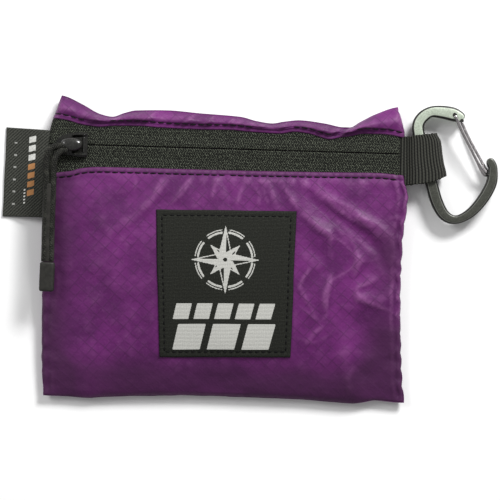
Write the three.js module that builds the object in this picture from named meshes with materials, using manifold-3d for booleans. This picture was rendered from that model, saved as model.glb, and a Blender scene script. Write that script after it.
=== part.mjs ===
// A small flat zippered pouch, the pocket-sized kind of stuff sack: a ripstop fabric envelope lying
// on its back, with a coil zipper across its front, a corded zip pull, a woven patch, a flag label
// sewn into the left side seam, and a webbing loop with a small wire-gate carabiner on the right.
//
// Millimetres. +X runs along the zipper towards the carabiner, +Y towards the top edge, +Z out of
// the front. The origin is the middle of the flat back face. The zipper is closed.
import * as THREE from "three";
import { mergeVertices } from "three/addons/utils/BufferGeometryUtils.js";
import Module from "manifold-3d";

const wasm = await Module();
wasm.setup();

// ---------------------------------------------------------------- driving dimensions
const GAP = 0.3; // clearance between pieces that touch
const FABRIC = 0.9; // a soft layer with its folds and allowances

// The outline of the pouch. Side edges are [y, x] pairs, top and bottom edges are [x, y] pairs.
const LEFT_EDGE = [[-59, -71.6], [-40, -72.8], [10, -73.3], [48, -71.9], [61, -68.0]];
const RIGHT_EDGE = [[-59, 73.0], [-32, 71.0], [0, 70.4], [24, 72.0], [49, 70.4], [61, 67.4]];
const TOP_EDGE = [
  [-73, 61.4], [-66, 60.8], [-52, 54.5], [-38, 56.4], [-12, 56.0], [17, 53.2], [28, 54.4],
  [47, 52.6], [58, 57.6], [66, 60.2], [73, 61.0],
];
const BOTTOM_EDGE = [[-73, -58.9], [-53, -59.2], [-31, -58.0], [31, -57.5], [52, -58.4], [73, -57.6]];

const SEAM_WIDTH = 2.5;
const SEAM_BASE = FABRIC + GAP;
const SEAM_TOP = 4.8;
const RIM_HEIGHT = 4.1; // underside of the front fabric where it meets a side or bottom seam
const TAPE_HEIGHT = 5.2; // underside of the zipper tape, which lies level along the pouch
const TAPE_THICKNESS = 0.6;
const BELLY = 7.4; // how far the front swells above the line from its bottom seam to the tape
const FRONT_TOP = 33.0;
const EAR_TOP = 60.8;

const ZIP_Y = 42.0; // centre line of the zipper
const TAPE_LEFT = -69.0;
const TAPE_RIGHT = 67.3;
const TAPE_INNER = 0.75; // from the centre line to the inner edge of each tape
const TAPE_OUTER = 8.4;
const THREAD_LINE = 10.1; // from the centre line to each row of topstitching
const COIL_INNER = 0.9;
const COIL_OUTER = 3.2;
const COIL_BASE = 3.3;
const COIL_TOP = 4.9;

const SLIDER = { left: -68.9, right: -56.9, width: 9.2, base: 1.9, floor: 2.9, roof: 6.1, top: 7.5 };
const CROWN = { left: -67.3, right: -58.5, width: 2.6, top: 10.6, slot: 1.5, foot: 1.8 };

const PATCH = { left: -27.4, right: 27.4, bottom: -41.4, top: 17.4, thickness: 0.6 };
const STITCH = { inset: 2.0, width: 0.6, height: 0.3 };

const CORD_RADIUS = 1.2;
const CORD_ROUTE = [
  [-64.2, 38.2, 10.0], [-67.2, 38.0, 10.6], [-70.3, 36.2, 10.9], [-71.9, 33.0, 10.9],
  [-71.6, 29.6, 10.9], [-71.1, 26.4, 10.9],
];
const SLEEVE = { x: -70.9, top: 26.0, bottom: -5.2, width: 5.2, thickness: 2.6, height: 10.9 };
const PULL_END = { x: -70.6, top: -5.6, bottom: -17.0, width: 6.0, thickness: 3.2, height: 10.9 };

const LABEL = { root: -74.0, tip: -90.2, bottom: 12.4, top: 48.2, thickness: 0.7 };
const LABEL_ROOT_HEIGHT = 3.3;

const LOOP_ROOT = { x: 73.0, bottom: 29.6, top: 49.0 };
const LOOP_END = { bottom: [87.3, 34.0], top: [82.9, 50.9] };
const LOOP_MIDDLE = 3.9; // height of the middle of the loop, and of the carabiner in it
const WEBBING = 1.0;
const LOOP_EYE = 2.8; // half height of the loop's eye, in which the carabiner's spine turns

const CARABINER_PLACE = [78.47, 40.62]; // middle of the carabiner's spine
const CARABINER_TURN = THREE.MathUtils.degToRad(16.2);
const CARABINER_THICKNESS = 4.0;
// The carabiner's centre line, pivot end first, in its own frame with +Y along the spine:
// [x, y, half width].
const CARABINER_BAR = [
  [18.5, 11.6, 2.1], [15.2, 14.2, 2.6], [11.2, 16.3, 2.5], [7.2, 17.3, 2.2], [3.6, 16.6, 2.4],
  [1.0, 14.0, 2.4], [0, 10, 2.4], [0, 0, 2.4], [0, -10, 2.4], [0.3, -18, 2.4], [2.0, -24.2, 2.2],
  [6.2, -27.0, 1.8], [12.0, -25.8, 2.0], [18.2, -21.9, 2.3], [23.2, -16.5, 2.2], [25.5, -10.5, 1.8],
  [25.4, -7.6, 1.7],
];
const WIRE_RADIUS = 0.6;
const WIRE_SIDE = CARABINER_THICKNESS / 2 + GAP + WIRE_RADIUS; // a leg beside the bar
// The gate wire in the same frame: down the front of the bar, round the tip and back behind it.
const GATE_WIRE = [
  [15.9, 13.4, WIRE_SIDE], [16.3, 10.6, WIRE_SIDE], [16.9, 7.2, WIRE_SIDE], [18.6, -0.6, 1.9],
  [20.6, -9.4, 1.2], [21.3, -11.6, 0.9], [22.3, -12.2, 0], [22.6, -11.4, -0.9],
  [22.1, -9.2, -1.2], [20.3, -0.6, -1.9], [18.7, 7.0, -WIRE_SIDE], [18.2, 10.4, -WIRE_SIDE],
];

// ---------------------------------------------------------------- materials
const paint = (color, roughness, metalness = 0) =>
  new THREE.MeshStandardMaterial({ color, roughness, metalness });
const RIPSTOP = paint(0x70346e, 0.45);
const BLACK_TAPE = paint(0x30312b, 0.85);
const BLACK_NYLON = paint(0x1b1b1a, 0.45);
const BLACK_THREAD = paint(0x1c1a1c, 0.8);
const WOVEN_LABEL = paint(0x262721, 0.8);
const WEBBING_BLACK = paint(0x33332d, 0.8);
const PAINTED_METAL = paint(0x141414, 0.3, 0.6);
const CORD_BLACK = paint(0x353330, 0.8);
const SHRINK_TUBE = paint(0x1a1a1a, 0.5);
const ANODISED = paint(0x6b6e66, 0.35, 0.9);
const STEEL = paint(0xc8c6c4, 0.2, 1.0);

const pouch = new THREE.Group();

function add(parent, name, geometry, material) {
  const mesh = new THREE.Mesh(geometry, material);
  mesh.name = name;
  parent.add(mesh);
  return mesh;
}

// ---------------------------------------------------------------- shared geometry
// The value at t of a smooth line through [t, value] pairs, level past its ends.
function along(pairs, t) {
  const i = pairs.findIndex(([at]) => at > t);
  if (i === 0) return pairs[0][1];
  if (i < 0) return pairs.at(-1)[1];
  const [[t0, v0], [t1, v1]] = [pairs[i - 1], pairs[i]];
  return THREE.MathUtils.lerp(v0, v1, THREE.MathUtils.smoothstep(t, t0, t1));
}

const span = (count) => Array.from({ length: count + 1 }, (_, i) => i / count);

// A closed geometry from a list of vertices and a list of triangles.
function closedGeometry(vertices, triangles) {
  const geometry = new THREE.BufferGeometry();
  geometry.setAttribute("position", new THREE.Float32BufferAttribute(vertices.flat(), 3));
  geometry.setIndex(triangles.flat());
  geometry.computeVertexNormals();
  return geometry;
}

// A soft layer: place(u, v) gives its plan, and base(x, y) its underside.
function layer(columns, rows, place, base, thickness) {
  const wide = rows + 1;
  const count = (columns + 1) * wide;
  const plan = span(columns).flatMap((u) => span(rows).map((v) => place(u, v)));
  const under = plan.map(([x, y]) => [x, y, base(x, y)]);
  const over = under.map(([x, y, z]) => [x, y, z + thickness]);
  const triangles = [];
  const quad = (a, b, c, d) => triangles.push([a, b, c], [a, c, d]);
  for (let i = 0; i < columns; i++)
    for (let j = 0; j < rows; j++) {
      const at = i * wide + j;
      quad(count + at, count + at + wide, count + at + wide + 1, count + at + 1);
      quad(at, at + 1, at + wide + 1, at + wide);
    }
  const rim = [
    ...span(columns).slice(0, -1).map((_, i) => i * wide),
    ...span(rows).slice(0, -1).map((_, j) => columns * wide + j),
    ...span(columns).slice(0, -1).map((_, i) => (columns - i) * wide + rows),
    ...span(rows).slice(0, -1).map((_, j) => rows - j),
  ];
  rim.forEach((a, i) => {
    const b = rim[(i + 1) % rim.length];
    quad(a, b, count + b, count + a);
  });
  return closedGeometry([...under, ...over], triangles);
}

// A plan outline given as [x, y] points, raised from one height to another.
function raised(points, base, top) {
  const shape = new THREE.Shape(points.map(([x, y]) => new THREE.Vector2(x, y)));
  const geometry = new THREE.ExtrudeGeometry(shape, { depth: top - base, bevelEnabled: false });
  return geometry.translate(0, 0, base);
}

const box = (x0, x1, y0, y1, z0, z1) =>
  new THREE.BoxGeometry(x1 - x0, y1 - y0, z1 - z0).translate(
    (x0 + x1) / 2,
    (y0 + y1) / 2,
    (z0 + z1) / 2,
  );

// An outline with rounded corners, centred on (x, y).
function roundedOutline(x, y, width, height, radius) {
  const corners = [[1, 1], [-1, 1], [-1, -1], [1, -1]];
  return corners.flatMap(([sx, sy], quarter) =>
    span(3).map((t) => {
      const angle = ((quarter + t) * Math.PI) / 2;
      return [
        x + sx * (width / 2 - radius) + radius * Math.cos(angle),
        y + sy * (height / 2 - radius) + radius * Math.sin(angle),
      ];
    }),
  );
}

// A round tube through a list of points.
function tube(points, radius, steps, sides = 8) {
  const section = new THREE.Shape(
    span(sides).slice(0, -1).map((t) => {
      const angle = t * 2 * Math.PI;
      return new THREE.Vector2(radius * Math.cos(angle), radius * Math.sin(angle));
    }),
  );
  const path = new THREE.CatmullRomCurve3(points.map((p) => new THREE.Vector3(...p)));
  return new THREE.ExtrudeGeometry(section, { steps, extrudePath: path, bevelEnabled: false });
}

function solidOf(geometry) {
  const bare = geometry.index ? geometry.clone() : geometry;
  bare.deleteAttribute("normal");
  bare.deleteAttribute("uv");
  const merged = mergeVertices(bare, 1e-4);
  return new wasm.Manifold(
    new wasm.Mesh({
      numProp: 3,
      vertProperties: merged.attributes.position.array,
      triVerts: new Uint32Array(merged.index.array),
    }),
  );
}

function joined(...geometries) {
  const whole = geometries.map(solidOf).reduce((a, b) => a.add(b));
  const { vertProperties, triVerts } = whole.getMesh();
  const geometry = new THREE.BufferGeometry();
  geometry.setAttribute("position", new THREE.BufferAttribute(vertProperties, 3));
  geometry.setIndex(new THREE.BufferAttribute(triVerts, 1));
  geometry.computeVertexNormals();
  return geometry;
}

// ---------------------------------------------------------------- the pouch's own surfaces
const leftAt = (y) => along(LEFT_EDGE, y);
const rightAt = (y) => along(RIGHT_EDGE, y);
const topAt = (x) => along(TOP_EDGE, x);
const bottomAt = (x) => along(BOTTOM_EDGE, x);

// Underside of the front fabric: level with its seams at the rim, and swollen in the middle.
function frontBase(x, y) {
  const edge = x < 0 ? leftAt(y) + SEAM_WIDTH : rightAt(y) - SEAM_WIDTH;
  const across = Math.max(0, 1 - (x / edge) ** 2) ** 0.55;
  const rise = THREE.MathUtils.clamp((y - bottomAt(x)) / (FRONT_TOP - bottomAt(x)), 0, 1);
  const upward = Math.sin(Math.PI * rise ** 0.8) ** 0.7;
  const line = THREE.MathUtils.lerp(RIM_HEIGHT - 0.6, TAPE_HEIGHT, rise);
  return line + BELLY * across * (upward || 0);
}

function outline(inset) {
  const ys = span(12).map((t) => THREE.MathUtils.lerp(-57.5, 58.5, t));
  const xs = span(18).map((t) => THREE.MathUtils.lerp(-68, 67, t));
  return [
    ...xs.map((x) => [x, bottomAt(x) + inset]),
    ...ys.map((y) => [rightAt(y) - inset, y]),
    ...xs.toReversed().map((x) => [x, topAt(x) - inset]),
    ...ys.toReversed().map((y) => [leftAt(y) + inset, y]),
  ];
}

function sideSeam(edge, towards) {
  const ys = span(14).map((t) => THREE.MathUtils.lerp(-56.6, 57.5, t));
  return raised(
    [
      ...ys.map((y) => [edge(y), y]),
      ...ys.toReversed().map((y) => [edge(y) + towards * SEAM_WIDTH, y]),
    ],
    SEAM_BASE,
    SEAM_TOP,
  );
}

// ---------------------------------------------------------------- fabric envelope
function envelope() {
  add(pouch, "back_panel", raised(outline(0), 0, FABRIC), RIPSTOP);
  add(pouch, "left_side_seam", sideSeam(leftAt, 1), RIPSTOP);
  add(pouch, "right_side_seam", sideSeam(rightAt, -1), RIPSTOP);

  const xs = span(14).map((t) => THREE.MathUtils.lerp(-68, 68, t));
  const bottomSeam = [
    ...xs.map((x) => [x, bottomAt(x) + 0.1]),
    ...xs.toReversed().map((x) => [x, bottomAt(x) + 1.4]),
  ];
  add(pouch, "bottom_seam", raised(bottomSeam, SEAM_BASE, SEAM_TOP - 0.6), RIPSTOP);

  const inset = SEAM_WIDTH + GAP;
  const frontPlace = (u, v) => {
    const y = THREE.MathUtils.lerp(-56.2, FRONT_TOP, v);
    const across = (1 - Math.cos(Math.PI * u)) / 2; // finer towards the seams
    const x = THREE.MathUtils.lerp(leftAt(y) + inset, rightAt(y) - inset, across);
    return [x, v === 0 ? bottomAt(x) + 1.4 + GAP : y];
  };
  add(pouch, "front_panel", layer(22, 16, frontPlace, frontBase, FABRIC), RIPSTOP);

  const tapeTop = ZIP_Y + TAPE_OUTER + GAP;
  const upperPlace = (u, v) => {
    const beside = THREE.MathUtils.lerp(tapeTop, EAR_TOP, v);
    const x = THREE.MathUtils.lerp(leftAt(beside) + inset, rightAt(beside) - inset, u);
    return [x, THREE.MathUtils.lerp(tapeTop, topAt(x), v)];
  };
  const upperBase = (x, y) => {
    const fall = (y - tapeTop) / (topAt(x) - tapeTop);
    const shoulder = 1 - fall ** 2;
    const ear = THREE.MathUtils.smoothstep(Math.abs(x), 60, 69) * 1.2;
    return SEAM_BASE + (TAPE_HEIGHT - SEAM_BASE - ear) * shoulder;
  };
  add(pouch, "upper_front_panel", layer(28, 4, upperPlace, upperBase, FABRIC), RIPSTOP);
}

// ---------------------------------------------------------------- zipper
function zipper() {
  for (const [name, side] of [["upper", 1], ["lower", -1]]) {
    const strip = (inner, outer, base, top, ends) => {
      const ys = [ZIP_Y + side * inner, ZIP_Y + side * outer].toSorted((a, b) => a - b);
      return box(...ends, ...ys, base, top);
    };
    const ends = [TAPE_LEFT, TAPE_RIGHT];
    const roof = TAPE_HEIGHT + TAPE_THICKNESS;
    const over = TAPE_HEIGHT + FABRIC + 2 * GAP;
    const thread = strip(THREAD_LINE, THREAD_LINE + 0.4, over, over + 0.3, side > 0 ? [-46, 46] : [-64, 64]);
    add(pouch, `${name}_tape`, strip(TAPE_INNER, TAPE_OUTER, TAPE_HEIGHT, roof, ends), BLACK_TAPE);
    add(pouch, `${name}_coil`, strip(COIL_INNER, COIL_OUTER, COIL_BASE, COIL_TOP, ends), BLACK_NYLON);
    add(pouch, `${name}_topstitch`, thread, BLACK_THREAD);
  }
}

// The slider: two plates on a wedge that parts the coils, with flanges beside them.
function slider() {
  const { left, right, width, base, floor, roof, top } = SLIDER;
  const middle = (left + right) / 2;
  const plate = roundedOutline(middle, ZIP_Y, right - left, width, 1.6);
  const flange = (side) => {
    const ys = [ZIP_Y + side * 3.7, ZIP_Y + side * 4.5].toSorted((a, b) => a - b);
    return box(left + 1.8, right - 1.2, ...ys, floor - 0.1, COIL_TOP);
  };
  const body = joined(
    raised(plate, base, floor),
    raised(plate, roof, top),
    box(left + 1.0, left + 4.0, ZIP_Y - 0.4, ZIP_Y + 0.4, floor - 0.1, roof + 0.1),
    flange(1),
    flange(-1),
  );
  add(pouch, "slider_body", body, PAINTED_METAL);

  const crown = new THREE.Shape();
  const foot = top + GAP;
  crown.moveTo(CROWN.left, foot);
  crown.lineTo(CROWN.left + CROWN.foot, foot);
  crown.lineTo(CROWN.left + CROWN.foot, foot + CROWN.slot);
  crown.lineTo(CROWN.right - CROWN.foot, foot + CROWN.slot);
  crown.lineTo(CROWN.right - CROWN.foot, foot);
  crown.lineTo(CROWN.right, foot);
  crown.lineTo(CROWN.right, CROWN.top - 1.4);
  crown.quadraticCurveTo(CROWN.right, CROWN.top, CROWN.right - 2.4, CROWN.top);
  crown.lineTo(CROWN.left + 2.4, CROWN.top);
  crown.quadraticCurveTo(CROWN.left, CROWN.top, CROWN.left, CROWN.top - 1.4);
  const arch = new THREE.ExtrudeGeometry(crown, { depth: CROWN.width, bevelEnabled: false, curveSegments: 4 });
  arch.rotateX(Math.PI / 2).translate(0, ZIP_Y + CROWN.width / 2, 0);
  add(pouch, "slider_crown", arch, PAINTED_METAL);
}

function zipPull() {
  add(pouch, "pull_cord", tube(CORD_ROUTE, CORD_RADIUS, 12), CORD_BLACK);
  for (const [name, piece, radius] of [["pull_sleeve", SLEEVE, 1.2], ["pull_end", PULL_END, 1.5]]) {
    const section = roundedOutline(0, 0, piece.width, piece.thickness, radius);
    const bar = raised(section, 0, piece.top - piece.bottom);
    bar.rotateX(Math.PI / 2).translate(piece.x, piece.top, piece.height);
    add(pouch, name, bar, SHRINK_TUBE);
  }
}

// ---------------------------------------------------------------- labels
function patch() {
  const { left, right, bottom, top, thickness } = PATCH;
  const place = (u, v) => [THREE.MathUtils.lerp(left, right, u), THREE.MathUtils.lerp(bottom, top, v)];
  const base = (x, y) => frontBase(x, y) + FABRIC + GAP;
  add(pouch, "label_patch", layer(10, 10, place, base, thickness), WOVEN_LABEL);

  // The border stitching: a band round the patch, laid on it.
  const side = (t) => {
    const corner = [[left, bottom], [right, bottom], [right, top], [left, top]];
    const from = corner[Math.floor(t * 4) % 4];
    const to = corner[(Math.floor(t * 4) + 1) % 4];
    return [0, 1].map((i) => THREE.MathUtils.lerp(from[i], to[i], (t * 4) % 1));
  };
  const middle = [(left + right) / 2, (bottom + top) / 2];
  const shrink = ([x, y], inset) => [
    middle[0] + (x - middle[0]) * (1 - (2 * inset) / (right - left)),
    middle[1] + (y - middle[1]) * (1 - (2 * inset) / (top - bottom)),
  ];
  const steps = 32;
  const vertices = span(steps).slice(0, -1).flatMap((t) =>
    [[0, 0], [STITCH.width, 0], [STITCH.width, STITCH.height], [0, STITCH.height]].map(([inset, lift]) => {
      const [x, y] = shrink(side(t), STITCH.inset + inset);
      return [x, y, base(x, y) + thickness + GAP + lift];
    }),
  );
  const triangles = [];
  for (let i = 0; i < steps; i++)
    for (let k = 0; k < 4; k++) {
      const [a, b] = [i * 4 + k, i * 4 + ((k + 1) % 4)];
      const [c, d] = [a, b].map((at) => (at + 4) % (steps * 4));
      triangles.push([a, d, c], [a, b, d]);
    }
  add(pouch, "patch_stitching", closedGeometry(vertices, triangles), BLACK_THREAD);
}

// The flag label leaves the seam level and droops to the ground.
function sideLabel() {
  const place = (u, v) => [
    THREE.MathUtils.lerp(LABEL.tip, LABEL.root, u),
    THREE.MathUtils.lerp(LABEL.bottom, LABEL.top, v),
  ];
  const droop = (x) => LABEL_ROOT_HEIGHT * THREE.MathUtils.smoothstep(x, LABEL.tip + 1, LABEL.root);
  add(pouch, "side_label", layer(8, 1, place, droop, LABEL.thickness), WOVEN_LABEL);
}

// ---------------------------------------------------------------- webbing loop and carabiner
// A band of webbing folded round the carabiner's spine: closed at its sewn root, open round the bar.
function webbingLoop() {
  const eye = LOOP_EYE;
  // [share of the way out, half height of the inside, half height of the outside]
  const full = eye + WEBBING;
  const stations = [
    [0, 0, 0.9], [0.02, 1.5, 2.5], [0.06, eye, full], [0.8, eye, full],
    [0.9, eye * 0.6, eye * 0.6 + WEBBING], [0.95, 0.3, 1.9], [1, 0, 0.8],
  ];
  const outer = [
    ...stations.map(([a, , out]) => [a, -out]),
    ...stations.toReversed().map(([a, , out]) => [a, out]),
  ];
  const inner = [
    ...stations.slice(1, -1).map(([a, into]) => [a, into]),
    ...stations.slice(1, -1).toReversed().map(([a, into]) => [a, -into]),
  ];
  const shape = new THREE.Shape(outer.map(([a, z]) => new THREE.Vector2(a, z)));
  shape.holes.push(new THREE.Path(inner.map(([a, z]) => new THREE.Vector2(a, z))));
  const geometry = new THREE.ExtrudeGeometry(shape, { depth: 1, steps: 4, bevelEnabled: false });
  const at = geometry.attributes.position;
  for (let i = 0; i < at.count; i++) {
    const [a, z, s] = [at.getX(i), at.getY(i), 1 - at.getZ(i)];
    const root = [LOOP_ROOT.x, THREE.MathUtils.lerp(LOOP_ROOT.bottom, LOOP_ROOT.top, s)];
    const end = [0, 1].map((k) => THREE.MathUtils.lerp(LOOP_END.bottom[k], LOOP_END.top[k], s));
    at.setXYZ(i, ...[0, 1].map((k) => THREE.MathUtils.lerp(root[k], end[k], a)), LOOP_MIDDLE + z);
  }
  geometry.deleteAttribute("normal");
  add(pouch, "webbing_loop", geometry, WEBBING_BLACK);
}

function carabiner() {
  const frame = new THREE.Group();
  frame.position.set(...CARABINER_PLACE, LOOP_MIDDLE);
  frame.rotation.z = CARABINER_TURN;
  pouch.add(frame);

  const line = new THREE.CatmullRomCurve3(CARABINER_BAR.map((p) => new THREE.Vector3(...p)));
  const points = line.getPoints(44);
  const sides = points.map((p, i) => {
    const ahead = points[Math.min(i + 1, points.length - 1)];
    const behind = points[Math.max(i - 1, 0)];
    const way = new THREE.Vector2(ahead.x - behind.x, ahead.y - behind.y).normalize();
    return { p, way, out: new THREE.Vector2(-way.y, way.x) };
  });
  const cap = (end, turn) =>
    [-0.25, 0, 0.25].map((t) => {
      const reach = new THREE.Vector2().addScaledVector(end.way, turn * end.p.z * Math.cos(t * Math.PI));
      return reach.addScaledVector(end.out, -turn * end.p.z * Math.sin(t * Math.PI)).add(end.p);
    });
  const shape = new THREE.Shape([
    ...sides.map(({ p, out }) => new THREE.Vector2(p.x + out.x * p.z, p.y + out.y * p.z)),
    ...cap(sides.at(-1), 1),
    ...sides.toReversed().map(({ p, out }) => new THREE.Vector2(p.x - out.x * p.z, p.y - out.y * p.z)),
    ...cap(sides[0], -1),
  ]);
  const edge = 0.7;
  const bar = new THREE.ExtrudeGeometry(shape, {
    depth: CARABINER_THICKNESS - 2 * edge,
    bevelThickness: edge,
    bevelSize: edge,
    bevelOffset: -edge,
    bevelSegments: 1,
  });
  bar.translate(0, 0, edge - CARABINER_THICKNESS / 2);
  add(frame, "carabiner_frame", bar, ANODISED);
  add(frame, "gate_wire", tube(GATE_WIRE, WIRE_RADIUS, 44, 6), STEEL);
}

envelope();
zipper();
slider();
zipPull();
patch();
sideLabel();
webbingLoop();
carabiner();

export default pouch;
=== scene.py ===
"""A zippered ripstop pouch with a side label, a woven patch, a webbing loop and a small wire-gate carabiner.
Lengths are in millimetres until a mesh is made, and +Z is up from the table that the pouch lies on."""

import math

import bpy
import numpy as np
from mathutils import Matrix, Vector


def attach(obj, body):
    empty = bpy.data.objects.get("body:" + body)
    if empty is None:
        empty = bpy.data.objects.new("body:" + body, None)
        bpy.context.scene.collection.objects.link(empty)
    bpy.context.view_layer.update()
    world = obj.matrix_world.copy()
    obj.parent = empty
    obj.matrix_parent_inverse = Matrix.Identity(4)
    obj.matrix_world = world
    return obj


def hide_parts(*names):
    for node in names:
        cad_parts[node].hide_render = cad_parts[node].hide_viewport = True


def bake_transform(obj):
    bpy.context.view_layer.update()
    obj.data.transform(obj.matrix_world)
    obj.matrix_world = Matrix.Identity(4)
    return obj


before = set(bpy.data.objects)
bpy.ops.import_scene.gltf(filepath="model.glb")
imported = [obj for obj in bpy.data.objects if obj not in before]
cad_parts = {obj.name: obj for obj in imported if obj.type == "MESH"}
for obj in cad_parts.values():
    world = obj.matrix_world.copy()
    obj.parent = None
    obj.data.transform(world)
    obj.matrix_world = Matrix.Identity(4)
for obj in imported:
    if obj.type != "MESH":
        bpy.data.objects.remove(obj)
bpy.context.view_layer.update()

scene = bpy.context.scene
MM = 0.001

# Camera: straight down, turned a little about the vertical, as far away as a product photograph is taken.
CAMERA_TURN = 1.7
CAMERA_AIM = (9.55, 1.88)
CAMERA_HEIGHT = 1006.0
CAMERA_LENS = 180.0

camera_data = bpy.data.cameras.new("camera")
camera_data.lens = CAMERA_LENS
camera_data.sensor_width = 36.0
camera_data.clip_end = 10.0
camera = bpy.data.objects.new("camera", camera_data)
camera.location = (CAMERA_AIM[0] * MM, CAMERA_AIM[1] * MM, CAMERA_HEIGHT * MM)
camera.rotation_euler = (0.0, 0.0, math.radians(CAMERA_TURN))
scene.collection.objects.link(camera)
scene.camera = camera
scene.view_settings.view_transform = "Standard"


# ---------------------------------------------------------------- helpers
def clamp01(t):
    return np.clip(t, 0.0, 1.0)


def smoothstep(t):
    t = clamp01(t)
    return t * t * (3.0 - 2.0 * t)


def smooth_line(points):
    """A smooth curve through points (a, b) that never overshoots them, as a function of a."""
    xs, ys = np.array(points, float).T
    h = np.diff(xs)
    d = np.diff(ys) / h
    m = np.zeros(len(xs))
    m[0], m[-1] = d[0], d[-1]
    same = d[:-1] * d[1:] > 0
    total = np.where(same, d[:-1] + d[1:], 1.0)
    m[1:-1] = np.where(same, 2.0 * d[:-1] * d[1:] / total, 0.0)

    def at(x):
        x = np.clip(x, xs[0], xs[-1])
        i = np.clip(np.searchsorted(xs, x) - 1, 0, len(xs) - 2)
        t = (x - xs[i]) / h[i]
        start = (1 + 2 * t) * (1 - t) ** 2 * ys[i] + t * (1 - t) ** 2 * h[i] * m[i]
        return start + t * t * (3 - 2 * t) * ys[i + 1] + t * t * (t - 1) * h[i] * m[i + 1]

    return at


def quarter(distance, reach):
    """0 at an edge, rising to 1 as a quarter circle within reach of it."""
    return np.sqrt(clamp01(1 - (1 - clamp01(distance / reach)) ** 2))


def bell(distance, width):
    return np.exp(-((distance / width) ** 2))


def boxy(c, power):
    """A sine or cosine pushed out towards the sides of a box, for a power below 1."""
    return np.sign(c) * np.abs(c) ** power


def run_of(points):
    """How far along a line of points each one lies."""
    return np.concatenate([[0], np.cumsum(np.linalg.norm(np.diff(points, axis=0), axis=1))])


TABLE = 97
FAR_CELLS = 500  # keeps every cell number above 0


def noise(x, y, cell, seed):
    """Smooth random heights from -1 to 1, one for each cell of that size."""
    table = np.random.default_rng(seed).uniform(-1, 1, (TABLE, TABLE))
    gx, gy = np.asarray(x) / cell + FAR_CELLS, np.asarray(y) / cell + FAR_CELLS
    ix, iy = np.floor(gx).astype(int), np.floor(gy).astype(int)
    fx, fy = gx - ix, gy - iy
    fx, fy = fx * fx * (3 - 2 * fx), fy * fy * (3 - 2 * fy)
    ix, iy, jx, jy = ix % TABLE, iy % TABLE, (ix + 1) % TABLE, (iy + 1) % TABLE
    low = table[ix, iy] * (1 - fx) + table[jx, iy] * fx
    high = table[ix, jy] * (1 - fx) + table[jx, jy] * fx
    return low * (1 - fy) + high * fy


def stroke(x, y, points):
    """(distance to a drawn line, how far along it from 0 to 1) for each point."""
    p = np.array(points, float)
    steps = np.hypot(*np.diff(p, axis=0).T)
    run = np.concatenate([[0], np.cumsum(steps)]) / steps.sum()
    best = np.full(np.shape(x), 1e9)
    along = np.zeros(np.shape(x))
    for a, b, ra, rb in zip(p[:-1], p[1:], run[:-1], run[1:]):
        d = b - a
        t = clamp01(((x - a[0]) * d[0] + (y - a[1]) * d[1]) / (d @ d))
        away = np.hypot(x - a[0] - t * d[0], y - a[1] - t * d[1])
        nearer = away < best
        best = np.where(nearer, away, best)
        along = np.where(nearer, ra + t * (rb - ra), along)
    return best, along


def crease(x, y, points, height, width, crisp=0.5):
    """A ridge (or a valley, if height is negative) along a drawn line, fading at its ends."""
    away, along = stroke(x, y, points)
    fade = np.sin(np.pi * np.clip(along, 0.02, 0.98)) ** 0.6
    return height * fade * np.exp(-(np.sqrt(away * away + crisp * crisp) - crisp) / width)


def link(name, data):
    o = bpy.data.objects.new(name, data)
    scene.collection.objects.link(o)
    return o


def make_mesh(name, verts, faces, material, cloth=None, marks=None):
    """A mesh object from millimetre points. cloth holds the flat coordinates that the weave follows."""
    verts = np.asarray(verts, float).reshape(-1, 3)
    data = bpy.data.meshes.new(name)
    data.from_pydata((verts * MM).tolist(), [], [list(map(int, f)) for f in faces])
    flat = verts if cloth is None else np.asarray(cloth, float).reshape(-1, 3)
    layer = data.attributes.new("cloth", "FLOAT_VECTOR", "POINT")
    layer.data.foreach_set("vector", flat.astype(np.float32).ravel())
    for key, values in (marks or {}).items():
        mark = data.attributes.new(key, "FLOAT", "POINT")
        mark.data.foreach_set("value", np.asarray(values, np.float32).ravel())
    data.materials.append(material)
    data.polygons.foreach_set("use_smooth", [True] * len(data.polygons))
    data.update()
    return link(name, data)


def settle(piece, slot, body, *nodes):
    """The body that carries a piece, and the CAD nodes that it stands for; slot, the finish it takes, is not used."""
    if nodes:
        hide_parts(*nodes)
    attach(piece, body)
    return piece


def grid_normals(P):
    """Unit normals of a grid of points, rows by columns."""
    du = np.gradient(P, axis=1)
    dv = np.gradient(P, axis=0)
    n = np.cross(du, dv)
    return n / np.maximum(np.linalg.norm(n, axis=2, keepdims=True), 1e-9)


def grid_faces(rows, cols, start=0, flip=False):
    i = start + np.arange(rows * cols).reshape(rows, cols)
    quads = np.stack([i[:-1, :-1], i[:-1, 1:], i[1:, 1:], i[1:, :-1]], axis=-1).reshape(-1, 4)
    return quads[:, ::-1] if flip else quads


def shell(name, P, thickness, material, cloth, marks=None, joins=(), normals=None):
    """Cloth of that thickness under a grid of points P, whose rows run up +Y and columns along +X.
    A side named in joins (left, right) is shaded as if the cloth went on, as another piece carries on there."""
    rows, cols = P.shape[:2]
    n = grid_normals(P) if normals is None else normals
    total = rows * cols
    i = np.arange(total).reshape(rows, cols)
    faces = [grid_faces(rows, cols), grid_faces(rows, cols, total, True)]
    rims = [("bottom", i[0]), ("right", i[:, -1]), ("top", i[-1][::-1]), ("left", i[:, 0][::-1])]
    for side, rim in rims:
        faces.append(np.stack([rim[:-1], rim[:-1] + total, rim[1:] + total, rim[1:]], axis=-1))
    verts = np.concatenate([P.reshape(-1, 3), (P - n * thickness).reshape(-1, 3)])
    both = {k: np.concatenate([np.ravel(v), np.ravel(v)]) for k, v in (marks or {}).items()}
    piece = make_mesh(name, verts, np.concatenate(faces), material, np.concatenate([cloth, cloth]), both)
    if joins:
        shading = np.array([w.vector for w in piece.data.vertex_normals], float)
        for side, rim in rims:
            if side in joins:
                shading[rim] = n.reshape(-1, 3)[rim]
                shading[rim + total] = -shading[rim]
        piece.data.normals_split_custom_set_from_vertices(shading.tolist())
    return piece


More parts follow.
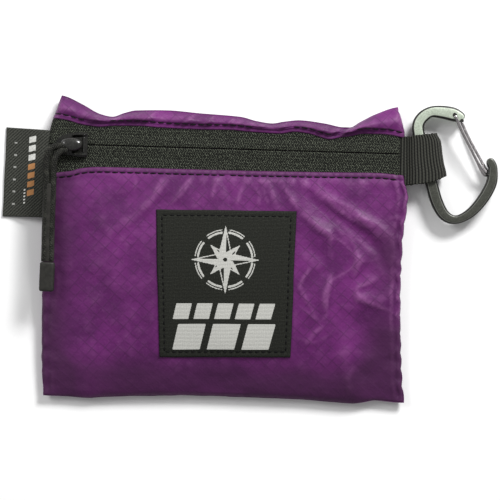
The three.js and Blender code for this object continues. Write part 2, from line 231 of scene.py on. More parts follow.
def ring_faces(rings, sides):
    """The quads between rings of points that follow each other, and a cap on each end."""
    faces = []
    for k in range(rings - 1):
        for s in range(sides):
            a, b = k * sides + s, k * sides + (s + 1) % sides
            faces.append((a, b, b + sides, a + sides))
    faces.append(tuple(range(sides))[::-1])
    faces.append(tuple(range((rings - 1) * sides, rings * sides)))
    return faces


def tube(path, radius, sides):
    """Points, faces and flat coordinates of a round bar; radius is one number or one for each point."""
    p = np.asarray(path, float)
    count = len(p)
    r = np.broadcast_to(np.asarray(radius, float), (count,))
    tangent = np.gradient(p, axis=0)
    tangent /= np.linalg.norm(tangent, axis=1, keepdims=True)
    side = np.cross((0.0, 0.0, 1.0), tangent[0])
    side /= np.linalg.norm(side)
    rings, flats, far = [], [], 0.0
    angles = np.linspace(0, 2 * np.pi, sides, endpoint=False)
    for k in range(count):
        side = side - tangent[k] * (side @ tangent[k])
        side /= np.linalg.norm(side)
        lift = np.cross(tangent[k], side)
        if k:
            far += np.linalg.norm(p[k] - p[k - 1])
        rings.append(p[k] + r[k] * (np.outer(np.cos(angles), side) + np.outer(np.sin(angles), lift)))
        flats.append(np.stack([angles * r.max(), np.full(sides, far), angles * 0], axis=1))
    return np.concatenate(rings), ring_faces(count, sides), np.concatenate(flats)


def join_parts(parts):
    """One list of points, faces and flat coordinates from several."""
    verts, faces, flats, at = [], [], [], 0
    for v, f, c in parts:
        verts.append(v)
        flats.append(c)
        faces.extend(tuple(int(i) + at for i in face) for face in f)
        at += len(v)
    return np.concatenate(verts), faces, np.concatenate(flats)


def make_joined(name, built, material):
    """A mesh object from (points, faces, flat coordinates)."""
    verts, faces, flats = built
    return make_mesh(name, verts, faces, material, flats)


def through(points, pitch):
    """Evenly spaced points of a smooth curve through the given ones."""
    p = np.asarray(points, float)
    ends = np.concatenate([[2 * p[0] - p[1]], p, [2 * p[-1] - p[-2]]])
    fine = []
    for a, b, c, d in zip(ends[:-3], ends[1:-2], ends[2:-1], ends[3:]):
        for t in np.linspace(0, 1, 24, endpoint=False):
            curve = 2 * b + (c - a) * t + (2 * a - 5 * b + 4 * c - d) * t**2 + (3 * b - a - 3 * c + d) * t**3
            fine.append(0.5 * curve)
    fine = np.array(fine + [p[-1]])
    run = run_of(fine)
    at = np.linspace(0, run[-1], max(2, int(round(run[-1] / pitch)) + 1))
    return np.stack([np.interp(at, run, fine[:, k]) for k in range(p.shape[1])], axis=1)


# ---------------------------------------------------------------- materials
class Nodes:
    """A short way to write a node tree: each call adds a node and gives back its output."""

    def __init__(self, name):
        self.material = bpy.data.materials.new(name)
        self.material.use_nodes = True
        self.tree = self.material.node_tree
        self.tree.nodes.clear()
        self.out = self.tree.nodes.new("ShaderNodeOutputMaterial")
        self.shader = self.tree.nodes.new("ShaderNodeBsdfPrincipled")
        self.tree.links.new(self.shader.outputs[0], self.out.inputs["Surface"])

    def put(self, socket, value):
        if isinstance(value, bpy.types.NodeSocket):
            self.tree.links.new(value, socket)
        else:
            socket.default_value = value

    def set(self, **values):
        for key, value in values.items():
            self.put(self.shader.inputs[key.replace("_", " ")], value)
        return self

    def math(self, operation, a, b=0.0, c=0.0, clamp=False):
        node = self.tree.nodes.new("ShaderNodeMath")
        node.operation = operation
        node.use_clamp = clamp
        for socket, value in zip(node.inputs, (a, b, c)):
            self.put(socket, value)
        return node.outputs[0]

    def mul(self, a, b, clamp=False):
        return self.math("MULTIPLY", a, b, clamp=clamp)

    def mad(self, a, b, c, clamp=False):
        """a times b, plus c."""
        return self.math("MULTIPLY_ADD", a, b, c, clamp)

    def attribute(self, name, which="Vector"):
        node = self.tree.nodes.new("ShaderNodeAttribute")
        node.attribute_name = name
        return node.outputs[which]

    def axes(self, vector):
        node = self.tree.nodes.new("ShaderNodeSeparateXYZ")
        self.put(node.inputs[0], vector)
        return node.outputs[0], node.outputs[1], node.outputs[2]

    def noise(self, vector, scale, detail=3.0, rough=0.55):
        node = self.tree.nodes.new("ShaderNodeTexNoise")
        self.put(node.inputs["Vector"], vector)
        node.inputs["Scale"].default_value = scale
        node.inputs["Detail"].default_value = detail
        node.inputs["Roughness"].default_value = rough
        return node.outputs["Fac"]

    def wave(self, value, pitch, phase=0.0):
        """A sine of that pitch, from 0 to 1."""
        turn = self.mad(value, 2 * math.pi / pitch, phase)
        return self.mad(self.math("SINE", turn), 0.5, 0.5)

    def mix(self, fac, a, b):
        node = self.tree.nodes.new("ShaderNodeMix")
        node.data_type = "RGBA"
        self.put(node.inputs[0], fac)
        for socket, value in ((node.inputs[6], a), (node.inputs[7], b)):
            self.put(socket, value if isinstance(value, bpy.types.NodeSocket) else (*value, 1.0))
        return node.outputs[2]

    def spread(self, value, low, high, to_low=0.0, to_high=1.0):
        node = self.tree.nodes.new("ShaderNodeMapRange")
        node.interpolation_type = "SMOOTHSTEP"
        for socket, v in zip(node.inputs, (value, low, high, to_low, to_high)):
            self.put(socket, v)
        return node.outputs[0]

    def bump(self, height, depth_mm, strength=1.0, normal=None):
        node = self.tree.nodes.new("ShaderNodeBump")
        node.inputs["Strength"].default_value = strength
        node.inputs["Distance"].default_value = depth_mm * MM
        self.put(node.inputs["Height"], height)
        if normal is not None:
            self.put(node.inputs["Normal"], normal)
        return node.outputs[0]


def twill(n, u, v, pitch, over):
    """A weave of slanted ridges, broken up along their length as threads are."""
    slant = n.wave(n.math("ADD", u, n.mul(v, over)), pitch)
    cross = n.wave(n.math("SUBTRACT", v, n.mul(u, over * 0.4)), pitch * 0.8)
    return n.mad(cross, 0.45, n.mul(slant, 0.55))


PURPLE = (0.132, 0.0175, 0.131)
PURPLE_DARK = (0.076, 0.0105, 0.079)
PURPLE_DEEP = (0.044, 0.0115, 0.043)
PURPLE_PALE = (0.230, 0.075, 0.215)
RIB_PITCH = 1.15
RIP_CELL = 3.75
WEAVE_TURN = 50.0
RIP_LINE = 0.16
THREAD_PITCH = 0.42


def ripstop():
    """Thin coated nylon: fine plain weave, a slanted grid of heavier threads, cloudy tone and sheen, with painted
    highlights on fold crests and painted shade where the marks say.
    """
    n = Nodes("ripstop_nylon")
    cloth = n.attribute("cloth")
    x, y, _ = n.axes(cloth)
    lean_x, lean_y = math.cos(math.radians(WEAVE_TURN)), math.sin(math.radians(WEAVE_TURN))
    warp = n.mad(x, lean_x, n.mul(y, lean_y))
    weft = n.mad(x, lean_y, n.mul(y, -lean_x))
    lines = []
    for along in (warp, weft):
        ping = n.math("PINGPONG", along, RIP_CELL / 2)
        lines.append(n.spread(ping, RIP_LINE * 0.5, RIP_LINE * 2.2, 1.0, 0.0))
    grid = n.math("MAXIMUM", *lines)
    weave = n.mul(n.wave(warp, THREAD_PITCH), n.wave(weft, THREAD_PITCH))
    cloud = n.noise(cloth, 0.055, 4.0, 0.6)
    worn = n.noise(cloth, 0.9, 3.0, 0.7)
    broken = n.noise(cloth, 0.16, 2.0)
    base = n.mix(n.spread(cloud, 0.32, 0.70), PURPLE_DARK, PURPLE)
    base = n.mix(n.mul(n.spread(worn, 0.52, 0.78), 0.22), base, PURPLE_PALE)
    # Painted highlight: the cloth is paler where the highlight mark says, on fold crests and along the tape edge.
    base = n.mix(n.mul(n.attribute("painted_highlight", "Fac"), 0.72, clamp=True), base, PURPLE_PALE)
    # Painted shade: the cloth is darker where the shade mark says, on the lower front's sides and bottom; on the strip
    # and back the same mark is random tone.
    base = n.mix(n.mul(n.attribute("shade", "Fac"), 0.85, clamp=True), base, PURPLE_DEEP)
    shown = n.mul(grid, n.spread(broken, 0.35, 0.62, 0.14, 0.54))
    base = n.mix(shown, base, (0.060, 0.012, 0.062))
    height = n.mad(weave, 0.5, n.mul(grid, 0.9))
    fine = n.bump(height, 0.05, 0.5)
    soft = n.bump(n.noise(cloth, 0.28, 4.0, 0.55), 0.8, 0.42, fine)
    rough = n.mad(worn, 0.16, 0.41)
    n.set(Base_Color=base, Roughness=rough, Normal=soft, Sheen_Weight=0.05, Sheen_Roughness=0.3)
    n.set(Sheen_Tint=(1.0, 0.75, 0.98, 1.0), Specular_IOR_Level=0.18, Coat_Weight=0.02, Coat_Roughness=0.3)
    return n.material


def braided():
    """The pull's black cord: slanted ridges, with paler specks where fibres catch the light."""
    dark, light = (0.005, 0.005, 0.0042), (0.085, 0.087, 0.070)
    n = Nodes("cord_braid")
    cloth = n.attribute("cloth")
    x, y, _ = n.axes(cloth)
    ridge = twill(n, x, y, 1.1, 0.9)
    fluff = n.noise(cloth, 3.2, 3.0, 0.7)
    broad = n.noise(cloth, 0.35, 2.0)
    fleck = n.mul(n.spread(fluff, 0.45, 0.68), n.spread(ridge, 0.35, 0.8))
    base = n.mix(n.mul(fleck, 0.9), dark, light)
    base = n.mix(n.mul(n.spread(broad, 0.45, 0.7), 0.3), base, light)
    height = n.mad(fluff, 0.5, ridge)
    n.set(Base_Color=base, Roughness=0.76, Normal=n.bump(height, 0.30, 0.8), Specular_IOR_Level=0.18)
    return n.material


def zipper_knit():
    """Zipper tape: small knitted loops in staggered rows, with a greenish cast where they catch light."""
    n = Nodes("zipper_knit")
    cloth = n.attribute("cloth")
    x, y, _ = n.axes(cloth)
    stray = n.mad(n.noise(cloth, 0.8, 2.0), 1.2, x)
    row = n.wave(n.mad(n.noise(cloth, 0.6, 2.0), 0.5, y), 1.15)
    lean = n.mad(n.math("SINE", n.mul(y, math.pi / 1.15)), 0.42, stray)
    loop = n.wave(lean, 0.98)
    fluff = n.noise(cloth, 1.7, 2.0, 0.8)
    knit = n.mul(loop, n.mad(row, 0.3, 0.7))
    fleck = n.spread(n.mad(fluff, 1.5, n.mul(knit, 0.45)), 0.95, 1.27)
    base = n.mix(fleck, (0.0040, 0.0043, 0.0032), (0.098, 0.109, 0.080))
    height = n.mad(fluff, 0.9, n.mul(knit, 0.7))
    n.set(Base_Color=base, Roughness=0.8, Normal=n.bump(height, 0.30, 1.0), Specular_IOR_Level=0.2)
    return n.material


def plain(name, dark, light, rough, scale, depth, metal=0.0, spread=(0.40, 0.65), **more):
    """A moulded, painted or spun surface with fine mottling."""
    n = Nodes(name)
    cloth = n.attribute("cloth")
    grain = n.noise(cloth, scale, 4.0, 0.6)
    base = n.mix(n.spread(grain, *spread), dark, light)
    n.set(Base_Color=base, Roughness=n.spread(grain, 0.2, 0.8, rough * 0.8, rough * 1.2), Metallic=metal)
    n.set(Normal=n.bump(grain, depth, 0.6), **more)
    return n.material


def mark_weave(name, ground, pale, pitch, lines, stripe=None):
    """A flat woven badge: fine rows of threads, with the paler design woven in where the mark says."""
    n = Nodes(name)
    cloth = n.attribute("cloth")
    x, y, _ = n.axes(cloth)
    rows = n.wave(y, pitch)
    picks = n.wave(x, pitch * 1.7)
    fluff = n.noise(cloth, 1.9, 3.0, 0.75)
    mark = n.spread(n.attribute("mark", "Fac"), 0.42, 0.58)
    tufts = n.mul(n.spread(fluff, 0.4, 0.7), 0.55)
    lit = n.mad(rows, lines, tufts, clamp=True)
    shade = n.mix(lit, ground[0], ground[1])
    design = n.mix(n.spread(fluff, 0.35, 0.7), pale[0], pale[1])
    base = n.mix(mark, shade, design)
    if stripe:
        base = n.mix(n.spread(n.attribute("second", "Fac"), 0.42, 0.58), base, stripe)
    woven = n.mad(picks, 0.4, n.mad(mark, 1.6, rows))
    n.set(Base_Color=base, Roughness=0.76, Normal=n.bump(woven, 0.07, 0.8), Specular_IOR_Level=0.18)
    return n.material


def ribbed():
    """Grosgrain webbing: ribs that follow the cloth's first coordinate, bound by finer cross threads."""
    n = Nodes("nylon_webbing")
    cloth = n.attribute("cloth")
    x, y, _ = n.axes(cloth)
    rib = n.math("ABSOLUTE", n.math("SINE", n.mul(x, math.pi / RIB_PITCH)))
    bind = n.wave(n.mad(x, 0.4, y), 0.62)
    fluff = n.noise(cloth, 2.8, 3.0, 0.7)
    proud = n.spread(rib, 0.35, 0.9)
    tufts = n.mad(fluff, 0.9, n.mul(bind, 0.25))
    lit = n.mul(proud, tufts)
    base = n.mix(n.mul(lit, 1.1, clamp=True), (0.003, 0.003, 0.0025), (0.056, 0.057, 0.046))
    height = n.mad(bind, 0.3, n.mad(fluff, 0.3, rib))
    n.set(Base_Color=base, Roughness=0.72, Normal=n.bump(height, 0.22, 0.9), Specular_IOR_Level=0.25)
    return n.material


def anodised():
    """Brushed anodised alloy with painted light: a painted highlight makes it silvery at the top and grey lower down.
    """
    n = Nodes("anodised_alloy")
    cloth = n.attribute("cloth")
    grain = n.noise(cloth, 2.2, 5.0, 0.7)
    # Painted highlight: lighter towards the top of the bar.
    top = n.attribute("top_highlight", "Fac")
    low = n.mix(n.spread(grain, 0.35, 0.7), (0.050, 0.052, 0.043), (0.092, 0.096, 0.080))
    high = n.mix(n.spread(grain, 0.35, 0.7), (0.44, 0.50, 0.40), (0.62, 0.69, 0.58))
    base = n.mix(n.spread(top, 0.42, 0.58), low, high)
    # Painted highlight: a pale line inside each rim, then painted shade darkening the bar's side walls.
    rim = n.attribute("rim", "Fac")
    glint = n.mul(n.spread(rim, 0.02, 0.2), n.spread(rim, 0.35, 0.55, 0.6, 0.0))
    base = n.mix(glint, base, (0.42, 0.43, 0.40))
    base = n.mix(n.spread(rim, 0.4, 0.7), base, (0.016, 0.016, 0.014))
    n.set(Base_Color=base, Metallic=0.55, Roughness=n.spread(grain, 0.3, 0.7, 0.32, 0.5))
    n.set(Normal=n.bump(grain, 0.03, 0.35), Specular_IOR_Level=0.6)
    return n.material


RIPSTOP = ripstop()
KNIT = zipper_knit()
COIL = plain("coil_nylon", (0.012, 0.012, 0.011), (0.03, 0.031, 0.027), 0.45, 1.5, 0.02)
THREAD = plain(
    "sewing_thread", (0.0018, 0.0015, 0.0020), (0.007, 0.006, 0.0075), 0.7, 4.0, 0.04, Specular_IOR_Level=0.15
)
ENAMEL = plain(
    "black_enamel", (0.012, 0.012, 0.011), (0.022, 0.022, 0.019), 0.26, 1.2, 0.02, Coat_Weight=0.35, Coat_Roughness=0.12
)
BRAID = braided()
TUBE = plain("shrink_tube", (0.0125, 0.0115, 0.0095), (0.022, 0.0205, 0.017), 0.52, 0.5, 0.05, Specular_IOR_Level=0.3)
BINDER = plain("tube_collar", (0.0135, 0.013, 0.011), (0.020, 0.0195, 0.016), 0.58, 0.8, 0.04, Specular_IOR_Level=0.3)
PATCH_GROUND = ((0.0048, 0.0052, 0.0036), (0.0300, 0.0325, 0.0250))
PATCH_PALE = ((0.40, 0.40, 0.375), (0.52, 0.52, 0.485))
PATCH = mark_weave("patch_damask", PATCH_GROUND, PATCH_PALE, 0.55, 0.2)
WEBBING = ribbed()
ALLOY = anodised()
STEEL = plain("polished_steel", (0.44, 0.42, 0.43), (0.66, 0.63, 0.63), 0.16, 0.8, 0.01, 1.0)


# ---------------------------------------------------------------- the pouch's outlines
# The side lines are (y, x) and the others (x, y).
left_line = smooth_line(
    [
        (-59, -71.6), (-40, -72.8), (10, -73.3), (30, -72.6), (48, -71.9), (55, -69.9), (61.6, -67.7),
    ]
)
right_line = smooth_line(
    [
        (-58, 73.1), (-44, 71.7), (-32, 71.0), (-8, 70.3), (8, 70.6), (24, 72.1), (31, 70.6), (36, 69.4),
        (46, 69.2), (50, 70.2), (56, 68.7), (61, 67.0),
    ]
)
top_line = smooth_line(
    [
        (-73, 61.9), (-67.5, 61.6), (-65.8, 61.2), (-59, 58.1), (-52, 54.6), (-47.2, 53.7), (-42.5, 55.3),
        (-37.7, 56.5), (-24.9, 56.9), (-12.1, 56.1), (4, 55.2), (11, 53.6), (16.8, 52.9), (22, 53.8),
        (28, 54.5), (38, 53.5), (45.7, 52.2), (48.1, 52.2), (52, 54.4), (58.3, 57.8), (67, 60.9), (73, 61.4),
    ]
)
bottom_line = smooth_line(
    [
        (-74, -58.8), (-71.5, -58.8), (-60, -59.1), (-53.5, -59.4), (-48, -58.8), (-31.1, -57.9), (-8.7, -57.1),
        (10, -57.2), (31.3, -57.5), (45, -58.2), (52.2, -58.5), (61.7, -57.0), (73.1, -57.6), (75, -57.6),
    ]
)
tape_top = smooth_line(
    [
        (-73, 52.6), (-68, 52.0), (-64, 51.3), (-60, 50.2), (-56, 49.6), (-52, 49.3), (-46, 49.9), (-36, 50.1),
        (-28, 49.7), (-12, 49.4), (0, 49.6), (8, 49.1), (20, 48.7), (26, 49.6), (32, 49.0), (36, 47.9),
        (40, 47.0), (44, 47.8), (48, 48.5), (54, 49.7), (60, 49.7), (64, 49.5), (68, 48.8), (73, 47.8),
    ]
)
tape_low = smooth_line(
    [
        (-74, 29.6), (-67, 30.8), (-63, 31.4), (-59, 32.6), (-52, 33.3), (-40, 33.4), (0, 33.5), (40, 33.9),
        (60, 34.2), (65, 33.9), (73, 33.3),
    ]
)
SEAM_MID = 3.1  # height of the seam round the rim
FABRIC = 0.22  # thickness of the ripstop
TAPE_TOP = 5.9  # height of the zipper tape
EDGE_LIFT = 0.42  # how far a folded edge rolls down onto the tape
PUCKER = 7.4  # length of one scallop of the right seam


def wander(s, cell, seed):
    return noise(s, np.zeros(np.shape(s)) + 0.37, cell, seed)


def pucker_place(y):
    return y + 1.4 * wander(y, 9.0, 8)


def left_at(y):
    return left_line(y) + 0.16 * wander(y, 3.1, 5)


def right_at(y):
    """The right seam is puckered into small scallops."""
    pucker = np.abs(np.sin(np.pi * pucker_place(y) / PUCKER)) ** 0.6
    return right_line(y) + 0.55 * (pucker - 0.75) + 0.16 * wander(y, 1.9, 6)


def bottom_at(x):
    return bottom_line(x) + 0.10 * wander(x, 4.1, 9)


BELLY = 5.9
LANE_TOP = 8.7  # under the pull, where the slider stops with the mouth open
LANE_X = 47.0
CREASES = [  # (points, height, width, crispness): the folds of slack cloth beside and above the patch
    (
        [(36.8, 26.3), (43.0, 21.7), (48.7, 18.3), (60.8, 13.0), (65.8, 8.8), (68.1, -2.8), (67.2, -10.8)],
        1.15, 1.7, 0.55,
    ),
    (
        [
            (27.9, 18.8), (36.9, 11.1), (47.0, 5.8), (52.4, -0.4), (50.2, -4.5), (43.1, -8.7), (40.1, -14.8),
            (41.1, -22.8), (38.0, -26.5),
        ],
        1.05, 1.6, 0.5,
    ),
    ([(31.0, 27.5), (36.0, 20.5), (46.5, 11.8), (55.0, 6.0), (61.0, 2.6)], -0.85, 2.4, 1.2),
    ([(50.0, -14.1), (57.4, -17.9), (67.5, -21.2)], 0.85, 1.5, 0.45),
    ([(50.0, -12.9), (57.5, -9.9), (61.4, -7.0)], 0.75, 1.5, 0.45),
    ([(46.0, -10.5), (52.0, -8.0), (58.0, -1.5)], -0.7, 2.2, 1.0),
    ([(35.3, 24.3), (43.0, 15.6), (50.2, 9.1), (59.7, 1.4), (63.5, -8.0)], 0.55, 1.4, 0.5),
    ([(-25.7, 30.1), (-29.1, 22.7), (-34.5, 16.2)], 0.70, 1.3, 0.5),
    ([(-22.0, 29.6), (-25.6, 22.0), (-29.5, 17.0)], -0.45, 1.8, 0.8),
    ([(-15.7, 29.1), (-19.0, 23.5), (-23.0, 18.9)], 0.50, 1.1, 0.45),
    ([(-5.3, 28.7), (-6.2, 21.4)], 0.45, 1.0, 0.4),
    ([(-1.0, 29.5), (1.5, 21.0)], -0.35, 1.1, 0.5),
    ([(6.0, 27.8), (3.4, 18.9)], 0.42, 1.0, 0.4),
    ([(9.0, 29.5), (13.0, 24.0), (12.0, 19.0)], 0.40, 0.9, 0.4),
    ([(13.6, 28.0), (16.2, 20.1)], 0.50, 1.0, 0.4),
    ([(21.9, 29.1), (24.0, 24.5), (27.8, 19.2)], 0.55, 1.0, 0.4),
    ([(17.5, 30.0), (21.0, 22.0)], -0.35, 1.1, 0.5),
    ([(-36.9, 29.6), (-37.1, 23.7)], 0.30, 0.9, 0.4),
    ([(28.7, -10.8), (33.0, -18.0), (37.6, -25.3)], 0.50, 1.0, 0.35),
    ([(28.8, -13.6), (31.0, -9.0), (34.5, -3.4)], 0.50, 1.0, 0.35),
    ([(40.4, -27.2), (36.5, -30.0), (32.7, -35.4)], 0.55, 1.1, 0.4),
    ([(30.0, -20.0), (38.0, -26.0)], 0.40, 1.0, 0.35),
    ([(28.6, -32.5), (36.0, -34.5), (44.0, -30.0)], 0.30, 1.3, 0.5),
    ([(52.5, -43.7), (50.2, -49.0), (51.6, -55.8)], 0.80, 1.7, 0.5),
    ([(56.0, -42.0), (58.5, -50.0), (57.0, -56.0)], -0.6, 2.5, 1.0),
    ([(65.5, 17.5), (68.0, 14.5), (70.3, 12.6)], -0.45, 0.8, 0.3),
    ([(64.5, 15.8), (67.2, 16.6), (70.0, 15.6)], 0.40, 0.6, 0.3),
    ([(-64.0, 22.0), (-58.0, 2.0), (-60.0, -22.0), (-64.0, -46.0)], -0.65, 5.0, 2.5),
    ([(-52.0, 20.0), (-42.0, 2.0), (-44.0, -24.0)], 0.75, 8.0, 3.0),
    ([(-70.0, -32.0), (-66.5, -36.0)], 0.45, 1.0, 0.4),
    ([(-70.5, 3.0), (-67.0, -14.0), (-68.5, -30.0)], 0.45, 1.2, 0.6),
    ([(-20.0, -47.0), (0.0, -49.5), (22.0, -47.0), (40.0, -49.0)], -0.6, 4.0, 2.0),
]
FOLDS = [  # the same slack as long soft rolls of cloth: (points, height, width)
    ([(30.0, 30.0), (40.0, 22.0), (52.0, 15.5), (63.0, 8.5), (67.0, -4.0)], 1.5, 2.9),
    ([(27.0, 21.0), (36.0, 12.5), (47.5, 5.5), (53.0, -2.0), (45.0, -8.5), (40.0, -18.0)], 1.35, 2.7),
    ([(30.0, 8.0), (38.0, 1.0), (42.0, -4.0), (34.0, -12.0)], -1.1, 3.4),
    ([(34.0, 25.0), (44.0, 16.5), (56.0, 9.5), (61.5, 0.0), (60.5, -6.0)], -1.3, 2.6),
    ([(47.0, -15.0), (56.0, -15.8), (67.0, -18.0)], 1.1, 2.8),
    ([(45.0, -21.0), (55.0, -27.0), (62.0, -38.0), (62.0, -52.0)], -1.2, 4.6),
    ([(47.5, -33.0), (49.5, -45.0), (49.5, -55.0)], 0.9, 3.4),
    ([(57.0, -44.0), (67.0, -36.0), (69.0, -26.0)], 0.7, 3.0),
    ([(-24.0, 31.0), (-28.5, 22.0), (-37.0, 13.5), (-46.0, 8.0)], 0.85, 2.6),
    ([(-34.0, 31.0), (-40.0, 22.0), (-50.0, 16.0)], -0.6, 3.2),
    ([(-62.0, 28.0), (-55.0, 14.0), (-56.0, -8.0), (-61.0, -30.0)], -0.9, 5.5),
    ([(-14.0, 31.0), (-20.0, 21.0)], 0.6, 1.9),
    ([(0.0, 31.0), (2.0, 21.0)], -0.5, 2.2),
    ([(14.0, 31.0), (20.0, 20.0)], 0.6, 1.9),
]
PATCH_BOX = (-28.0, 27.4, -41.3, 17.5)  # left, right, bottom and top of the patch


def patch_press(x, y):
    """1 under the patch, where the sewn badge holds the cloth smooth, falling to 0 just outside it."""
    inside = np.minimum(
        np.minimum(x - PATCH_BOX[0], PATCH_BOX[1] - x),
        np.minimum(y - PATCH_BOX[2], PATCH_BOX[3] - y),
    )
    return smoothstep((inside + 1.2) / 2.4)


def front_parts(x, y):
    """The lower front's smooth dome, how far up it is from 0 to 1, and how far from its side, low and top edges."""
    left, right = left_line(y), right_line(y)
    low, top = bottom_line(x), tape_low(x)
    middle, half = (left + right) / 2, (right - left) / 2
    across = clamp01(1 - ((x - middle) / half) ** 2) ** 0.55
    rise = clamp01((y - low) / (top - low))
    dome = BELLY * across * np.sin(np.pi * rise**0.8) ** 0.7
    return dome, rise, np.minimum(x - left, right - x), y - low, top - y


def front_z(x, y):
    """Height of the lower front's upper side."""
    dome, rise, side, low, top = front_parts(x, y)
    near = np.minimum(side, low)
    base = SEAM_MID + (TAPE_TOP + 0.28 - SEAM_MID) * smoothstep(rise) ** 0.8
    inner = smoothstep(near / 3.0 + 0.35)
    z = np.minimum(base + dome, base + 0.55 + 0.9 * near) * inner + (base + 0.3) * (1 - inner)
    z = z + 0.9 * quarter(near, 1.1) - 0.9
    ridge = np.where(x > 0, 1.0, 0.45) * clamp01(0.9 + 0.6 * wander(y + x, 4.0, 21))
    z = z - 0.55 * ridge * bell(side - 2.5 - 0.5 * wander(y, 5.0, 3), 0.65) * smoothstep(low / 3)
    z = z + 0.30 * ridge * bell(side - 3.7, 0.7) * smoothstep(low / 3)
    slack = smoothstep(near / 3.5) * smoothstep((top - 1.8) / 2.5)
    free = slack * (1 - patch_press(x, y))
    for points, height, width, crisp in CREASES:
        z = z + 0.8 * free * crease(x, y, points, height, width, crisp)
    for points, height, width in FOLDS:
        away, along = stroke(x, y, points)
        fade = np.sin(np.pi * np.clip(along, 0.05, 0.95)) ** 0.5
        z = z + 0.64 * free * height * fade * bell(away, width)
    fine = 0.20 * noise(x, y, 6.5, 32) + 0.06 * noise(x, y, 2.6, 33)
    z = z + slack * (0.42 * noise(x, y, 17.0, 31) + free * fine)
    pull = 0.5 + 0.5 * wander(x, 9.0, 13)
    gather = np.cos(2 * np.pi * (x + 2.6 * wander(x, 11.0, 12)) / 6.1)
    z = z + 0.26 * pull * free * np.exp(-(top - 2.5).clip(0) / 4.0) * gather
    scallop = np.exp(-side / 3.2) * smoothstep(side / 1.5)
    z = z + 0.35 * scallop * np.cos(2 * np.pi * pucker_place(y) / PUCKER)
    lane = smoothstep((5.5 - np.abs(x - LANE_X)) / 3.0 + 0.2) * smoothstep((y + 26.0) / 8.0)
    z = np.where(z > LANE_TOP, z + lane * (LANE_TOP + 0.12 * (z - LANE_TOP) - z), z)
    hem = smoothstep((1.9 - np.abs(top - 0.95)) / 0.9)
    tuck = np.cos(2 * np.pi * (x + 0.7 * wander(x, 5.0, 15)) / 3.05)
    z = z + (0.10 + 0.05 * tuck) * hem - 0.30 * bell(top - 2.05, 0.32)
    return z - EDGE_LIFT * clamp01(1 - top / 0.45) ** 2


FOLD_A, FOLD_B = (41.6, 46.4), (48.3, 52.1)  # the ends of the right ear's fold


def ear_fold(x, y):
    """(0 on the strip and 1 on the right ear, which laps over it along a slanted fold; distance past the fold)."""
    dx, dy = FOLD_B[0] - FOLD_A[0], FOLD_B[1] - FOLD_A[1]
    size = math.hypot(dx, dy)
    beyond = ((x - FOLD_A[0]) * dy - (y - FOLD_A[1]) * dx) / size
    return smoothstep(beyond / 0.4 + 0.5), beyond


def strip_z(x, y):
    """Height of the upper side of the strip above the zipper, rolled along the middle and flatter at its ears."""
    low, high = tape_top(x), top_line(x)
    width = np.maximum(high - low, 1.0)
    t = clamp01((y - low) / width)
    side = np.minimum(x - left_line(y), right_line(y) - x)
    puff = 1.15 + 0.35 * wander(x, 13.0, 41) - 0.35 * smoothstep((np.abs(x) - 52) / 10)
    flat = clamp01((y - low - 1.3) / (width - 1.3))
    z = TAPE_TOP + 0.26 + puff * np.sin(np.pi * flat**0.8) ** 1.1
    z = z - (TAPE_TOP + 0.26 - SEAM_MID) * smoothstep((t - 0.35) / 0.65) ** 1.6
    edge = high - y
    z = z - 0.9 * (1 - quarter(edge, 1.2)) * smoothstep(t * 2)
    z = np.maximum(z, SEAM_MID + 0.02)
    z = z - (z - SEAM_MID - 0.1) * (1 - quarter(side, 2.2))
    inner = smoothstep((y - low - 1.2) / 1.5) * smoothstep(edge / 1.6)
    slant = x - 0.9 * (y - low)
    roll = 1 - np.abs(noise(slant, y * 0.10, 7.5, 42))
    z = z + inner * (0.95 * (roll**3 - 0.4) + 0.20 * noise(slant, y * 0.2, 3.0, 43))
    lap, beyond = ear_fold(x, y)
    up = smoothstep((y - low - 0.3) / 1.6)
    z = z + 1.3 * lap * np.exp(-np.abs(beyond) / 7.0) * smoothstep(edge / 0.8 + 0.2) * up
    z = z - 0.8 * bell(beyond + 1.1, 0.9) * smoothstep(edge / 0.8) * up
    hem = smoothstep((1.8 - np.abs(y - low - 0.9)) / 0.9)
    z = z + 0.06 * hem - 0.30 * bell(y - low - 2.0, 0.32)
    return z - EDGE_LIFT * clamp01(1 - (y - low) / 0.45) ** 2


RIM, RIM_PITCH = 2.0, 0.35  # how far from a seam the cloth rolls over, and the points' spacing there


def spaced(length, pitch):
    """Shares of a length from 0 to 1, at that pitch, and closer together near both ends."""
    close = np.arange(0, RIM, RIM_PITCH)
    inner = np.linspace(RIM, length - RIM, int((length - 2 * RIM) / pitch))
    return np.concatenate([close, inner, length - close[::-1]]) / length


def seam_grid(u, v, low_line, high_line, start, height, rounds=5):
    """Points (X, Y) whose columns run from seam to seam and whose rows from low_line to high_line."""
    U, V = np.meshgrid(u, v)
    Y = start + V * height
    for _ in range(rounds):
        X = left_at(Y) + U * (right_at(Y) - left_at(Y))
        Y = low_line(X) + V * (high_line(X) - low_line(X))
    return X, Y


BROAD = 3.0  # a crease wider than this is a swell with no painted highlight on its crest


def crest_highlights(z, x, y, drawn=()):
    """Painted highlight: paler where folds stand proud, most of all on the crests of drawn creases."""
    crest = np.zeros_like(x)
    for points, height, width, _ in drawn:
        if width > BROAD:
            continue
        away, along = stroke(x, y, points)
        near = bell(away, 0.45) * np.sin(np.pi * np.clip(along, 0, 1)) ** 0.4
        crest = np.maximum(crest, near * clamp01(height * 1.2))
    blur = z.copy()
    for _ in range(6):
        blur[1:-1, 1:-1] = (blur[:-2, 1:-1] + blur[2:, 1:-1] + blur[1:-1, :-2] + blur[1:-1, 2:]) / 4
    patchy = 0.62 + 0.25 * noise(x, y, 2.0, 77) + 0.25 * noise(x, y, 0.8, 78)
    return np.maximum(clamp01((z - blur) / 0.16), crest) * patchy


